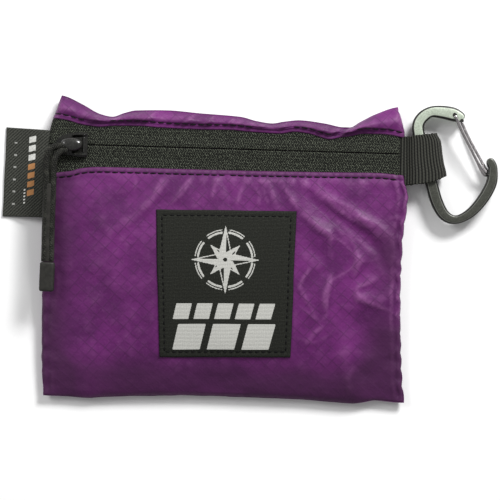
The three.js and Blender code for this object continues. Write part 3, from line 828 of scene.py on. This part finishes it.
def painted_edge_shade(x, y):
    """Painted shade: darker along the left side, the bottom and the lower right, in soft clouds."""
    cloud = 0.5 + 0.5 * noise(x, y, 14.0, 88)
    side = smoothstep((-54.0 - x) / 15.0)
    low = smoothstep((-38.0 - y) / 12.0)
    corner = smoothstep((x - 50.0) / 14.0) * smoothstep((-16.0 - y) / 16.0)
    band = np.exp(-(((x - 66.0) / 7.0) ** 2) - ((y - 2.0) / 16.0) ** 2)
    return clamp01((0.85 * side + 0.95 * low + 1.0 * corner + 0.75 * band) * (0.75 + 0.5 * cloud))


CLOTH_PITCH = 0.72
v = spaced(92.0, CLOTH_PITCH)
X, Y = seam_grid(spaced(144.0, CLOTH_PITCH), v, bottom_at, tape_low, -58.0, 91.5, 4)
Z = front_z(X, Y)
front_points = np.stack([X, Y, Z], axis=2)
front_flat = np.stack([X, Y, np.zeros_like(Z)], axis=2)
from_tape = tape_low(X) - Y
# Painted highlight on the fold crests, kept off the patch, and along the fold at the tape edge.
front_highlights = crest_highlights(Z, X, Y, CREASES) * (1 - patch_press(X, Y))
front_highlights = np.maximum(front_highlights, 0.55 * smoothstep(1.3 - from_tape / 0.3) * (0.7 + 0.3 * wander(X, 1.6, 16)))
# Painted shade along the sides and bottom, and a darker band along the hem by the tape.
front_darkening = np.maximum(painted_edge_shade(X, Y), 0.62 * smoothstep((1.9 - from_tape) / 0.25))
front_normals = grid_normals(front_points)
SPLIT = int(np.argmin(np.abs(X[len(v) // 2])))  # the column at the middle of the pouch
SIDES = ((False, "left"), (True, "right"))


def bend_half(piece, node):
    """A half of the lower front, which stays sewn in at its side: its CAD node is hidden and its place baked into its
    points.
    """
    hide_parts(node)
    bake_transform(piece)
    return piece


for right, side in SIDES:
    part = np.s_[:, SPLIT:] if right else np.s_[:, : SPLIT + 1]
    # The marks carry the painted highlight on fold crests and the painted shade.
    marks = {"painted_highlight": front_highlights[part], "shade": front_darkening[part]}
    join = ("left",) if right else ("right",)
    P, flat = front_points[part], front_flat[part]
    piece = shell("front_cloth_" + side, P, FABRIC, RIPSTOP, flat, marks, join, front_normals[part])
    bend_half(piece, "front_panel")

# The strip above the zipper, with its two ears.
v = np.concatenate([np.arange(0, 3.0, 0.22), np.linspace(3.0, 8.4, 14), np.arange(8.6, 10.01, 0.2)]) / 10.0
X, Y = seam_grid(spaced(140.0, 0.6), v, tape_top, top_line, 50.0, 5.0)
Z = strip_z(X, Y)
P, flat = np.stack([X, Y, Z], axis=2), np.stack([X, Y * 1.02 + 11.0, Z * 0], axis=2)
# Painted highlight where the strip's folds stand proud; the shade mark here is random tone.
marks = {"painted_highlight": crest_highlights(Z, X, Y), "shade": 0.25 + 0.3 * noise(X, Y, 9.0, 89)}
strip = shell("upper_strip", P, FABRIC, RIPSTOP, flat, marks)
settle(strip, "ripstop", "pouch", "upper_front_panel")


def back_z(x, y, edge):
    """The back lies on the table, with its rim curling up to the seam."""
    z = 0.35 + 0.25 * (1 + noise(x, y, 15.0, 51)) + 0.10 * (1 + noise(x, y, 4.0, 52)) * smoothstep(edge / 4)
    return z + (SEAM_MID - 0.12 - z) * (1 - quarter(edge, 3.4))


BACK_PITCH = 0.95
X, Y = seam_grid(spaced(144.0, BACK_PITCH), spaced(117.0, BACK_PITCH), bottom_at, top_line, -58.0, 114.0)
from_side = np.minimum(X - left_at(Y), right_at(Y) - X)
from_end = np.minimum(Y - bottom_at(X), top_line(X) - Y)
Z = back_z(X, Y, np.minimum(from_side, from_end).clip(0))
P = np.stack([X, Y, Z], axis=2)[:, ::-1]
marks = {"painted_highlight": Z * 0, "shade": 0.3 + 0.3 * noise(X, Y, 12.0, 90)[:, ::-1]}
back = shell("back_cloth", P, FABRIC, RIPSTOP, P * (1, 1, 0), marks)
settle(back, "ripstop", "pouch", "back_panel", "left_side_seam", "right_side_seam", "bottom_seam")


# ---------------------------------------------------------------- zipper: tapes, coils and topstitching
ZIP_Y = 42.0
SLIT = 0.17  # half the gap between the two tapes, which the slider's thin web runs along
TAPE_ENDS = (-71.9, 68.4)
COIL_PITCH = 1.25
COIL_WIRE = 0.3
COIL_REACH = 3.6
COIL_Z, COIL_RISE = 4.15, 0.6
COIL_ENDS = (-55.0, 66.5)
TAPE = 0.5  # thickness of a tape


def tape_z(x, y):
    """Upper side of the zipper tape: proud over the coil, dipping at the middle and into the seams."""
    off = np.abs(y - ZIP_Y)
    z = TAPE_TOP - 0.12 + 0.34 * np.exp(-((off / 3.4) ** 4))
    z = z - 0.26 * bell(off, 0.34) * (0.6 + 0.4 * np.cos(2 * np.pi * x / COIL_PITCH))
    z = z + 0.05 * noise(x, y, 3.0, 61) + 0.05 * noise(x, y, 9.0, 62)
    z = z - 2.3 * (1 - quarter(x - left_line(y), 4.5))
    return z - 0.55 * (1 - quarter(TAPE_ENDS[1] - x, 1.1))


def tape_piece(name, y_of, xs, joins=(), flip=False):
    """A tape along xs. Its left end follows the seam, and its points are closest along the first side of y_of,
    or the last if flipped."""
    v = np.concatenate([np.linspace(0, 0.10, 5), np.linspace(0.14, 1.0, 16)])
    if flip:
        v = 1 - v[::-1]
    Xs, Vs = np.meshgrid(xs, v)
    Ys = y_of(Xs, Vs)
    inset = (Xs - TAPE_ENDS[0]) / 12.0
    Xs = np.where(inset < 1, TAPE_ENDS[0] + 12 * inset + (left_line(Ys) - TAPE_ENDS[0]) * (1 - inset), Xs)
    Ys = y_of(Xs, Vs)
    P = np.stack([Xs, Ys, tape_z(Xs, Ys)], axis=2)
    return shell(name, P, TAPE, KNIT, P * (1, 1, 0), None, joins)


def upper_span(x, t):
    return ZIP_Y + SLIT + t * (tape_top(x) + 1.6 - ZIP_Y)


def lower_span(x, t):
    low = tape_low(x) - 1.4
    return low + t * (ZIP_Y - SLIT - low)


tape = tape_piece("upper_zip_tape", upper_span, np.linspace(*TAPE_ENDS, 260))
settle(tape, "zipper_tape", "pouch", "upper_tape")
for right, side in SIDES:
    xs = np.linspace(0, TAPE_ENDS[1], 126) if right else np.linspace(TAPE_ENDS[0], 0, 134)
    tape = tape_piece("lower_zip_tape_" + side, lower_span, xs, ("left",) if right else ("right",), True)
    bend_half(tape, "lower_tape")


def coil_mesh(name, x_from, x_to, side):
    """A coil of the zipper: side is 1 above the slit and -1 below it."""
    turns = int((x_to - x_from) / COIL_PITCH)
    angle = np.linspace(0, turns * 2 * np.pi, turns * 12 + 1)
    x = x_from + angle / (2 * np.pi) * COIL_PITCH + (COIL_PITCH / 2 if side > 0 else 0)
    middle = ZIP_Y + side * (COIL_REACH / 2 + COIL_WIRE + SLIT)
    y = middle + side * COIL_REACH / 2 * np.cos(angle)
    z = COIL_Z + COIL_RISE * np.sin(angle)
    verts, faces, _ = tube(np.stack([x, y, z], axis=1), COIL_WIRE, 6)
    return make_mesh(name, verts, faces, COIL)


settle(coil_mesh("upper_zip_coil", *COIL_ENDS, 1), "zipper_coil", "pouch", "upper_coil")
for right, side in SIDES:
    coil = coil_mesh("lower_zip_coil_" + side, *((0.0, COIL_ENDS[1]) if right else (COIL_ENDS[0], 0.0)), -1)
    bend_half(coil, "lower_coil")


STRAY = 0.10  # how far a stitch's ends lie off the row
THREAD_POINTS = 7


def stitches(line, surface, pitch, length, radius, lift, skip, seed):
    """Short lengths of thread along a line of (x, y) points, each sunk at both ends; none within a skip (x, x)."""
    p = np.asarray(line, float)
    run = run_of(p)
    rng = np.random.default_rng(seed)
    parts = []
    for start in np.arange(0.4, run[-1] - length, pitch):
        at = start + np.linspace(0, length, THREAD_POINTS)
        x, y = np.interp(at, run, p[:, 0]), np.interp(at, run, p[:, 1])
        shift = rng.uniform(-STRAY, STRAY, 2)
        y = y + np.linspace(shift[0], shift[1], THREAD_POINTS)
        if any(a <= x.mean() <= b for a, b in skip):
            continue
        rise = np.sin(np.linspace(0, np.pi, THREAD_POINTS)) ** 0.6
        z = surface(x, y) + lift * rise - 0.25 * (1 - rise)
        parts.append(tube(np.stack([x, y, z], axis=1), radius * (0.35 + 0.65 * rise), 7))
    return join_parts(parts)


THREAD_RADIUS = 0.27
UNDER_FOLDS = ((-58.5, -48.5), (9.0, 26.0), (40.5, 50.0))  # where the strip's folds hide its stitches
xs = np.linspace(-70.6, 69.3, 500)
row = np.stack([xs, tape_top(xs) + 2.0], axis=1)
threads = stitches(row, strip_z, 3.2, 2.9, THREAD_RADIUS, 0.22, UNDER_FOLDS, 3)
settle(make_joined("upper_topstitches", threads, THREAD), "thread", "pouch", "upper_topstitch")
for right, side in SIDES:
    xs = np.linspace(0.1, 69.2, 250) if right else np.linspace(-71.2, 0.1, 250)
    row = np.stack([xs, tape_low(xs) - 2.05], axis=1)
    threads = stitches(row, front_z, 3.05, 2.85, THREAD_RADIUS + 0.02, 0.24, (), 5)
    bend_half(make_joined("lower_topstitches_" + side, threads, THREAD), "lower_topstitch")

# ---------------------------------------------------------------- the woven patch
PATCH_CORNERS = np.array([[(-25.3, -42.0), (27.0, -40.4)], [(-28.4, 16.9), (27.6, 18.0)]])
PATCH_SIZE = (55.0, 59.0)
PATCH_THICK = 0.6
PATCH_INSET = 2.2  # of its stitching from its edge


def patch_place(s, t):
    """The (x, y) of the point (s, t) of the flat patch, whose middle is (0, 0)."""
    a, b = s / PATCH_SIZE[0] + 0.5, t / PATCH_SIZE[1] + 0.5
    c = PATCH_CORNERS
    low = c[0, 0] * (1 - a)[..., None] + c[0, 1] * a[..., None]
    high = c[1, 0] * (1 - a)[..., None] + c[1, 1] * a[..., None]
    p = low * (1 - b)[..., None] + high * b[..., None]
    x = p[..., 0] + 0.10 * noise(p[..., 1], p[..., 0] * 0, 8.0, 71)
    y = p[..., 1] + 0.12 * noise(p[..., 0], p[..., 1] * 0, 9.0, 72)
    return x, y


def patch_z(s, t):
    x, y = patch_place(s, t)
    edge = np.minimum(PATCH_SIZE[0] / 2 - np.abs(s), PATCH_SIZE[1] / 2 - np.abs(t))
    z = front_z(x, y) + PATCH_THICK + 0.12
    z = z - 0.45 * clamp01(1 - edge / 0.5) ** 2
    return z - 0.16 * bell(edge - PATCH_INSET, 0.4)


def bar(s, t, left, right, low, high, slant=0.25):
    """A slanted bar: 1 inside, 0 outside."""
    shift = (t - low) * slant
    return (s >= left + shift) & (s <= right + shift) & (t >= low) & (t <= high)


def motif(s, t):
    """A compass rose in a broken ring, over a thin row and a thick row of slanted bars."""
    cx, cy = s + 0.2, t - 9.6
    r, angle = np.hypot(cx, cy), np.arctan2(cy, cx)
    mark = np.zeros(np.shape(s), bool)
    for k in range(8):
        reach = 14.0 if k % 2 == 0 else 8.6
        turn = angle - k * np.pi / 4
        along, off = r * np.cos(turn), r * np.sin(turn)
        wide = 3.1 if k % 2 == 0 else 2.6
        room = wide * (1 - along / reach)
        inside = (along > 0.8) & (np.abs(off) < np.minimum(room, along * 0.72))
        hollow = (off < -0.32) & (np.abs(off) < np.minimum(room, along * 0.72) - 0.45)
        mark |= inside & ~hollow
    gap = np.abs(((angle + np.pi / 8) % (np.pi / 4)) - np.pi / 8) < 0.10
    mark |= (np.abs(r - 10.9) < 0.42) & ~gap
    mark |= (np.abs(r - 12.0) < 0.22) & ~gap & (r > 11)
    for k in range(5):
        mark |= bar(s, t, -21.6 + k * 8.5, -15.2 + k * 8.5, -14.0, -7.8)
    for k in range(3):
        mark |= bar(s, t, -22.0 + k * 14.4, -10.6 + k * 14.4, -26.4, -16.2)
    return mark


def soften(mark):
    m = np.array(mark, float)
    pad = np.pad(m, 1, mode="edge")
    return (pad[:-2, 1:-1] + pad[2:, 1:-1] + pad[1:-1, :-2] + pad[1:-1, 2:] + 2 * m) / 6


a, b = PATCH_SIZE[0] / 2, PATCH_SIZE[1] / 2
S, T = np.meshgrid(np.linspace(-a, a, 221), np.linspace(-b, b, 237))
X, Y = patch_place(S, T)
P, flat = np.stack([X, Y, patch_z(S, T)], axis=2), np.stack([S, T, S * 0], axis=2)
patch = shell("woven_patch", P, PATCH_THICK, PATCH, flat, {"mark": soften(motif(S, T))})
settle(patch, "patch_weave", "front", "label_patch")

a, b = a - PATCH_INSET, b - PATCH_INSET
parts = []
for line in (((-a, b), (a, b)), ((a, b), (a, -b)), ((a, -b), (-a, -b)), ((-a, -b), (-a, b))):
    ends = np.array(line, float)
    count = int(np.hypot(*(ends[1] - ends[0])) / 2.6)
    for k in range(count):
        st = ends[0] + (ends[1] - ends[0]) * ((k + np.linspace(0.12, 0.86, 6)) / count)[:, None]
        x, y = patch_place(st[:, 0], st[:, 1])
        rise = np.sin(np.linspace(0, np.pi, 6)) ** 0.6
        z = patch_z(st[:, 0], st[:, 1]) + 0.16 * rise - 0.15 * (1 - rise)
        parts.append(tube(np.stack([x, y, z], axis=1), 0.24 * (0.4 + 0.6 * rise), 6))
settle(make_joined("patch_border_stitches", join_parts(parts), THREAD), "thread", "front", "patch_stitching")

# ---------------------------------------------------------------- the side label
LABEL_WIDTH, LABEL_LENGTH = 18.4, 35.6
S, T = np.meshgrid(np.linspace(0, LABEL_WIDTH, 93), np.linspace(0, LABEL_LENGTH, 179))
a, b = S / LABEL_WIDTH, T / LABEL_LENGTH
X = (-90.3 + 0.6 * b) + a * LABEL_WIDTH + 0.10 * noise(T, S * 0, 6.0, 81) * (1 - a)
Y = 12.45 + b * (35.7 + 0.2 * (1 - a)) - 0.7 * a * b
Z = 0.75 + 3.2 * smoothstep((X + 89.4) / 15.4) + 0.16 * noise(X, Y, 8.0, 82) * (1 - a) + 0.06 * noise(X, Y, 2.5, 83)
edge = np.minimum(np.minimum(S, T), LABEL_LENGTH - T)
Z = Z - 0.25 * clamp01(1 - edge / 0.45) ** 2


def bar_row(count, left, right, pitch, low, high, slant=0.3):
    """A row of bars along the label, the first of them from left to right."""
    row = np.zeros_like(S, bool)
    for k in range(count):
        row |= bar(T, S, left + k * pitch, right + k * pitch, low, high, slant)
    return row


white = bar_row(3, 22.6, 25.0, 3.6, 9.6, 12.2) | bar_row(5, 5.2, 5.9, 1.3, 8.0, 8.9)
faint = bar_row(6, 4.6, 5.7, 4.9, 3.3, 4.9, 0.0)
copper = bar_row(4, 8.4, 10.7, 3.5, 9.6, 12.2)
LABEL_GROUND = ((0.0030, 0.0034, 0.0026), (0.074, 0.077, 0.065))
LABEL_PALE = ((0.50, 0.50, 0.47), (0.68, 0.68, 0.65))
LABEL = mark_weave("label_damask", LABEL_GROUND, LABEL_PALE, 0.95, 0.60, (0.42, 0.20, 0.08))
P, flat = np.stack([X, Y, Z], axis=2), np.stack([(S + T) * 0.7071, (S - T) * 0.7071, S * 0], axis=2)
marks = {"mark": np.maximum(soften(white), 0.50 * soften(faint)), "second": soften(copper)}
label = shell("side_flag", P, 0.55, LABEL, flat, marks)
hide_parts("side_label")
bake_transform(label)


# ---------------------------------------------------------------- the webbing loop
LOOP_PATH = [  # [x, z] round the eye, from the seam under the bar and back over it
    (68.2, 3.50), (70.4, 3.10), (71.6, 2.0), (73.4, 0.62), (75.6, 0.26), (78.5, 0.20), (81.6, 0.45), (83.7, 1.6),
    (84.5, 3.9), (83.7, 6.2), (81.6, 7.35), (78.5, 7.60), (75.6, 7.54), (73.4, 7.18), (71.6, 5.8), (70.4, 4.95),
    (68.2, 4.85),
]
LOOP_ROOT, LOOP_TIP = 68.2, 84.5
loop_line = through(LOOP_PATH, RIB_PITCH / 7)
arc = run_of(loop_line)
side = np.gradient(loop_line, axis=0)
side = np.stack([side[:, 1], -side[:, 0]], axis=1) / np.linalg.norm(side, axis=1, keepdims=True)
loop_end = smooth_line([(29, 87.6), (34.05, 87.35), (39.3, 86.1), (42.6, 85.5), (47.6, 84.7), (50.8, 83.1), (52, 83.0)])
loop_low = smooth_line([(68, 29.4), (70.75, 29.7), (78.3, 30.7), (84, 32.3), (87.4, 34.0)])
loop_high = smooth_line([(68, 48.8), (70.2, 49.0), (78.9, 50.2), (82.9, 50.8), (88, 51.0)])
C, R = np.meshgrid(np.arange(len(loop_line)), np.linspace(1, 0, 52))
rib = np.abs(np.sin(np.pi * arc / RIB_PITCH)) ** 0.7
out = 0.20 * rib - 0.1
x0 = (loop_line[:, 0] + side[:, 0] * out)[C]
Z = (loop_line[:, 1] + side[:, 1] * out)[C]
Y = 40.0
for _ in range(4):
    X = LOOP_ROOT + (x0 - LOOP_ROOT) * (loop_end(Y) - LOOP_ROOT) / (LOOP_TIP - LOOP_ROOT)
    ragged = 0.22 * (rib[C] - 0.5) + 0.20 * noise(arc[C], R * 0, 1.3, 91)
    Y = loop_low(X) - ragged * (1 - R) + R * (loop_high(X) + ragged * R - loop_low(X))
Z = Z + 0.05 * np.sin(2 * np.pi * Y / 1.3 + arc[C] * 2.2)
P, flat = np.stack([X, Y, Z], axis=2), np.stack([arc[C], Y, Y * 0], axis=2)
webbing = shell("ribbed_webbing", P, 0.65, WEBBING, flat)
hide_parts("webbing_loop")
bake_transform(webbing)

# ---------------------------------------------------------------- the carabiner and its wire gate
BAR = [
    (18.9, 11.2, 1.7), (17.6, 12.6, 2.3), (15.2, 14.4, 2.75), (11.2, 16.3, 2.55), (7.2, 17.4, 2.2), (3.6, 16.4, 2.4),
    (1.0, 14.0, 2.4), (0.1, 10, 2.45), (0, 0, 2.45), (0.1, -10, 2.45), (0.3, -18, 2.45), (2.0, -24.1, 2.2),
    (6.0, -26.9, 1.75), (12.0, -25.8, 1.95), (18.2, -21.8, 2.2), (23.2, -16.5, 2.2), (25.3, -11.2, 1.85),
    (25.2, -8.4, 1.8), (24.6, -6.6, 1.3),
]
PLACE = Vector((78.47, 40.62, 3.9))
TURN = Matrix.Rotation(math.radians(16.2), 4, "Z")
BAR_HALF = 2.0


def place_local(verts):
    m = np.array(Matrix.Translation(PLACE) @ TURN)
    return verts @ m[:3, :3].T + m[:3, 3]


BAR_SIDES = 32
line = through(BAR, 0.45)
tangent = np.gradient(line[:, :2], axis=0)
tangent /= np.linalg.norm(tangent, axis=1, keepdims=True)
across = np.stack([-tangent[:, 1], tangent[:, 0]], axis=1)
angles = np.linspace(0, 2 * np.pi, BAR_SIDES, endpoint=False)
su, sw = boxy(np.cos(angles), 0.52), boxy(np.sin(angles), 0.46)
rings, heights, rims, flats = [], [], [], []
run = run_of(line[:, :2])
for k, (p, n) in enumerate(zip(line, across)):
    taper = float(quarter(min(run[k], run[-1] - run[k]), 1.2)) * 0.55 + 0.45
    width = p[2] * taper
    rings.append(np.column_stack([p[:2][None] + np.outer(su * width, n), sw * BAR_HALF * (0.8 + 0.2 * taper)]))
    heights.append(np.full(BAR_SIDES, p[1]) + 0.35 * np.sin(angles))
    # Marks the bar's side walls, where the finish paints a highlight line and shade.
    rims.append(smoothstep((np.abs(su) - 0.62) / 0.12) * np.where(su > 0, 1.0, 0.9))
    flats.append(np.column_stack([su * width, np.full(BAR_SIDES, run[k]), sw * BAR_HALF]))
faces = [f[::-1] for f in ring_faces(len(line), BAR_SIDES)]
# The top mark is painted highlight towards the top of the bar; rim marks the side walls for painted shade.
marks = {"top_highlight": smoothstep((np.concatenate(heights) - 7.0) / 3.0), "rim": np.concatenate(rims)}
verts = place_local(np.concatenate(rings))
bar_piece = make_mesh("carabiner_bar", verts, faces, ALLOY, np.concatenate(flats), marks)
settle(bar_piece, "carabiner_anodised", "carabiner", "carabiner_frame")


def turned(profile, segments):
    """Points of a small turned piece from (radius, height) points, about an upright axis."""
    angle = np.linspace(0, 2 * np.pi, segments, endpoint=False)
    rings = [np.column_stack([r * np.cos(angle), r * np.sin(angle), np.full(segments, h)]) for r, h in profile]
    return np.concatenate(rings)


for name, centre, r in (("gate_pivot", (15.9, 13.8, 0), 0.95), ("gate_notch_pin", (18.1, 10.9, 0), 0.75)):
    profile = [(r * 0.9, -2.05), (r, -1.95), (r, 1.95), (r * 0.95, 2.04), (r * 0.72, 2.06), (r * 0.6, 2.02)]
    verts = turned(profile, 28)
    pin = make_mesh(name, place_local(verts + np.array(centre)), ring_faces(len(profile), 28), ENAMEL, verts)
    settle(pin, "gate_steel", "carabiner")

WIRE = [
    (15.9, 13.4, 2.75), (16.2, 11.6, 2.9), (16.5, 9.2, 2.75), (17.4, 4.6, 2.4), (18.6, -0.6, 1.9), (19.9, -6.4, 1.45),
    (20.7, -10.2, 1.1), (21.3, -11.9, 0.8), (22.3, -12.5, 0), (22.8, -11.7, -0.8), (22.4, -9.6, -1.1),
    (21.6, -5.8, -1.45), (20.3, -0.6, -1.9), (19.1, 4.8, -2.4), (18.5, 8.6, -2.75), (18.2, 10.4, -2.9),
]
wire = through(WIRE, 0.4)
verts, faces, flats = tube(wire, 0.64 + 0.16 * bell(wire[:, 1] + 11.8, 3.4), 14)
settle(make_mesh("wire_gate", place_local(verts), faces, STEEL, flats), "gate_steel", "gate", "gate_wire")


# ---------------------------------------------------------------- the slider and its pull
def slab(outline, levels):
    """A closed piece from one outline, drawn in by each (inset, z) in turn."""
    p = np.asarray(outline, float)
    ahead, behind = np.roll(p, -1, axis=0), np.roll(p, 1, axis=0)
    t = ahead - behind
    n = np.stack([t[:, 1], -t[:, 0]], axis=1) / np.linalg.norm(t, axis=1, keepdims=True)
    count = len(p)
    verts = np.concatenate([np.column_stack([p - n * inset, np.full(count, z)]) for inset, z in levels])
    return verts, ring_faces(len(levels), count), verts.copy()


def dense(points, pitch=0.35):
    closed = np.vstack([points, points[:1]])
    run = run_of(closed)
    at = np.linspace(0, run[-1], int(run[-1] / pitch), endpoint=False)
    return np.stack([np.interp(at, run, closed[:, k]) for k in (0, 1)], axis=1)


def oval(cx, cy, rx, ry, power=1.0):
    a = np.linspace(0, 2 * np.pi, 48, endpoint=False)
    return np.stack([cx + rx * boxy(np.cos(a), power), cy + ry * boxy(np.sin(a), power)], axis=1)


def bevelled(z0, z1, r):
    """Levels of a slab from z0 to z1 whose upper and lower edges are rounded."""
    steps = np.linspace(0, np.pi / 2, 5)
    low = [(r * (1 - math.sin(t)), z0 + r * (1 - math.cos(t))) for t in steps]
    high = [(r * (1 - math.cos(t)), z1 - r * (1 - math.sin(t))) for t in steps]
    return low + high


HEEL, FLANK = -56.95, (37.5, 46.5)  # the slider's square end and its widest part
plate = dense(
    [
        (-59.8, 37.4), (-64.5, 38.1), (-67.6, 39.4), (-68.8, 41.1), (-68.8, 42.9), (-67.6, 44.6), (-64.5, 45.9),
        (-59.8, 46.6), (HEEL, FLANK[1]), (HEEL, FLANK[0]),
    ]
)
web = oval(-64.0, 42.0, 3.2, 0.1)
lip = dense([(-58.3, 38.9), (-57.75, 38.9), (-57.75, 45.1), (-58.3, 45.1)])
levels = ((plate, 6.35, 7.5, 0.35), (plate, 1.9, 2.85, 0.3), (web, 2.7, 6.6, 0.02), (lip, 7.3, 7.8, 0.12))
parts = [slab(outline, bevelled(*level)) for outline, *level in levels]
settle(make_joined("slider_plates", join_parts(parts), ENAMEL), "slider_enamel", "slider", "slider_body")
parts = []
for y0, y1, s in ((45.75, FLANK[1], 0.35), (FLANK[0], 38.25, -0.35)):
    rail = dense([(-62.6, y0 - s), (-62.6, y1 - s), (HEEL, y1), (HEEL, y0)])
    parts.append(slab(rail, bevelled(6.5, 7.95, 0.2)))
settle(make_joined("slider_rails", join_parts(parts), ENAMEL), "slider_enamel", "slider")
dome = [(0.0, 7.3), (0.0, 8.6)]
dome += [(2.5 * (1 - math.cos(t)), 8.6 + 1.9 * math.sin(t)) for t in np.linspace(0.15, 1.35, 9)]
crown = make_joined("slider_crown_dome", slab(oval(-62.9, 42.0, 4.4, 2.65, 0.9), dome), ENAMEL)
settle(crown, "slider_enamel", "slider", "slider_crown")

SLEEVE_X, SLEEVE_Z = -70.9, 10.9
CORD_DIAMETER = 2.6
STRANDS = (
    [
        (-64.4, 39.2, 9.3), (-66.6, 39.1, 9.7), (-68.4, 37.7, 10.5), (-69.4, 35.0, 11.0), (-69.7, 31.0, 10.9),
        (-69.6, 26.0, 10.9), (-69.7, 12.0, 10.9), (-69.7, -4.6, 10.9),
    ],
    [
        (-65.2, 41.0, 9.1), (-67.6, 41.1, 9.3), (-69.9, 40.6, 9.75), (-71.8, 38.8, 10.6), (-72.5, 35.4, 11.0),
        (-72.4, 31.0, 10.9), (-72.2, 26.0, 10.9), (-72.1, 12.0, 10.9), (-72.1, -4.6, 10.9),
    ],
)


STICK_SIDES = 40


def waist(a, rx, rz, dent):
    """A section with two side-by-side swellings."""
    x = rx * boxy(np.cos(a), 0.75)
    return x, rz * boxy(np.sin(a), 0.7) * (1 - dent * bell(x - 0.9, 0.55))


def stick(name, y_values, sizes, dent, material, node):
    """A moulded piece along the pull, with its own width and thickness at each place."""
    a = np.linspace(0, 2 * np.pi, STICK_SIDES, endpoint=False)
    rings, flats = [], []
    for y, (rx, rz) in zip(y_values, sizes):
        x, z = waist(a, rx, rz, dent)
        shift = 0.06 * noise(np.array(y), 0.0, 7.0, 101)
        rings.append(np.column_stack([SLEEVE_X + x + shift, np.full(STICK_SIDES, y), SLEEVE_Z + z]))
        flats.append(np.column_stack([x, np.full(STICK_SIDES, y), z]))
    faces = ring_faces(len(rings), STICK_SIDES)
    piece = make_mesh(name, np.concatenate(rings), faces, material, np.concatenate(flats))
    return settle(piece, "pull_tube", "pull", node)


def rounded_run(y0, y1, rx, rz, r, pitch=0.8):
    """Places and sizes along a stick from y0 down to y1 with rounded ends."""
    ys, sizes = [], []
    for t in np.linspace(0, np.pi / 2, 6):
        ys.append(y0 - r * (1 - math.cos(t)))
        sizes.append((rx - r * (1 - math.sin(t)), rz - r * (1 - math.sin(t)) * 0.8))
    for y in np.arange(y0 - r - pitch, y1 + r, -pitch):
        ys.append(y)
        sizes.append((rx, rz))
    for t in np.linspace(0, np.pi / 2, 6):
        ys.append(y1 + r * (1 - math.sin(t)))
        sizes.append((rx - r * (1 - math.cos(t)), rz - r * (1 - math.cos(t)) * 0.8))
    return ys, sizes


sleeve = stick("pull_tube", *rounded_run(26.0, -5.2, 2.6, 1.3, 0.5), 0.16, TUBE, "pull_sleeve")
ending = stick("pull_tip", *rounded_run(-5.3, -17.0, 3.0, 1.6, 0.9), 0.05, BINDER, "pull_end")
CORD_SIDES = 16
PLAIT = 2.4  # length of one turn of the braid
for name, points, extra in (("pull_strand_inner", STRANDS[0], sleeve), ("pull_strand_outer", STRANDS[1], ending)):
    line = through(points, 0.35)
    verts, faces, flats = tube(line, CORD_DIAMETER / 2, CORD_SIDES)
    turn = flats[:, 0] / (CORD_DIAMETER / 2)
    far = flats[:, 1] * 2 * np.pi / PLAIT
    plait = np.abs(np.sin(2 * turn + far)) + np.abs(np.sin(2 * turn - far))
    middle = np.repeat(line, CORD_SIDES, axis=0)
    verts = middle + (verts - middle) * (0.90 + 0.10 * plait)[:, None]
    strand = settle(make_mesh(name, verts, faces, BRAID, flats), "pull_braid", "pull", "pull_cord")

n = Nodes("pale_floor")
geometry = n.tree.nodes.new("ShaderNodeNewGeometry").outputs["Position"]
cloud = n.noise(geometry, 40.0, 3.0)
n.set(Base_Color=n.mix(cloud, (0.90, 0.90, 0.90), (0.93, 0.93, 0.93)), Roughness=0.85, Specular_IOR_Level=0.15)
FLOOR_HALF, FLOOR_Z = 1.6, -0.0002
corners = [(x * FLOOR_HALF, y * FLOOR_HALF, FLOOR_Z) for x, y in ((-1, -1), (1, -1), (1, 1), (-1, 1))]
floor_data = bpy.data.meshes.new("floor")
floor_data.from_pydata(corners, [], [(0, 1, 2, 3)])
floor_data.materials.append(n.material)
link("floor", floor_data)

world = bpy.data.worlds.new("studio")
scene.world = world
world.use_nodes = True
world.node_tree.nodes["Background"].inputs[0].default_value = (1.0, 1.0, 1.0, 1.0)
world.node_tree.nodes["Background"].inputs[1].default_value = 0.34


def soft_light(name, place, size, power):
    """A rectangular lamp aimed at the middle of the pouch."""
    data = bpy.data.lights.new(name, "AREA")
    data.shape = "RECTANGLE"
    data.size, data.size_y = size
    data.energy = power
    o = link(name, data)
    o.location = place
    o.rotation_euler = (-Vector(place)).to_track_quat("-Z", "Y").to_euler()


soft_light("key", (0.50, 0.80, 0.62), (0.42, 0.30), 17.0)
soft_light("fill", (-0.75, 0.45, 0.7), (0.5, 0.5), 4.5)

bpy.context.view_layer.update()
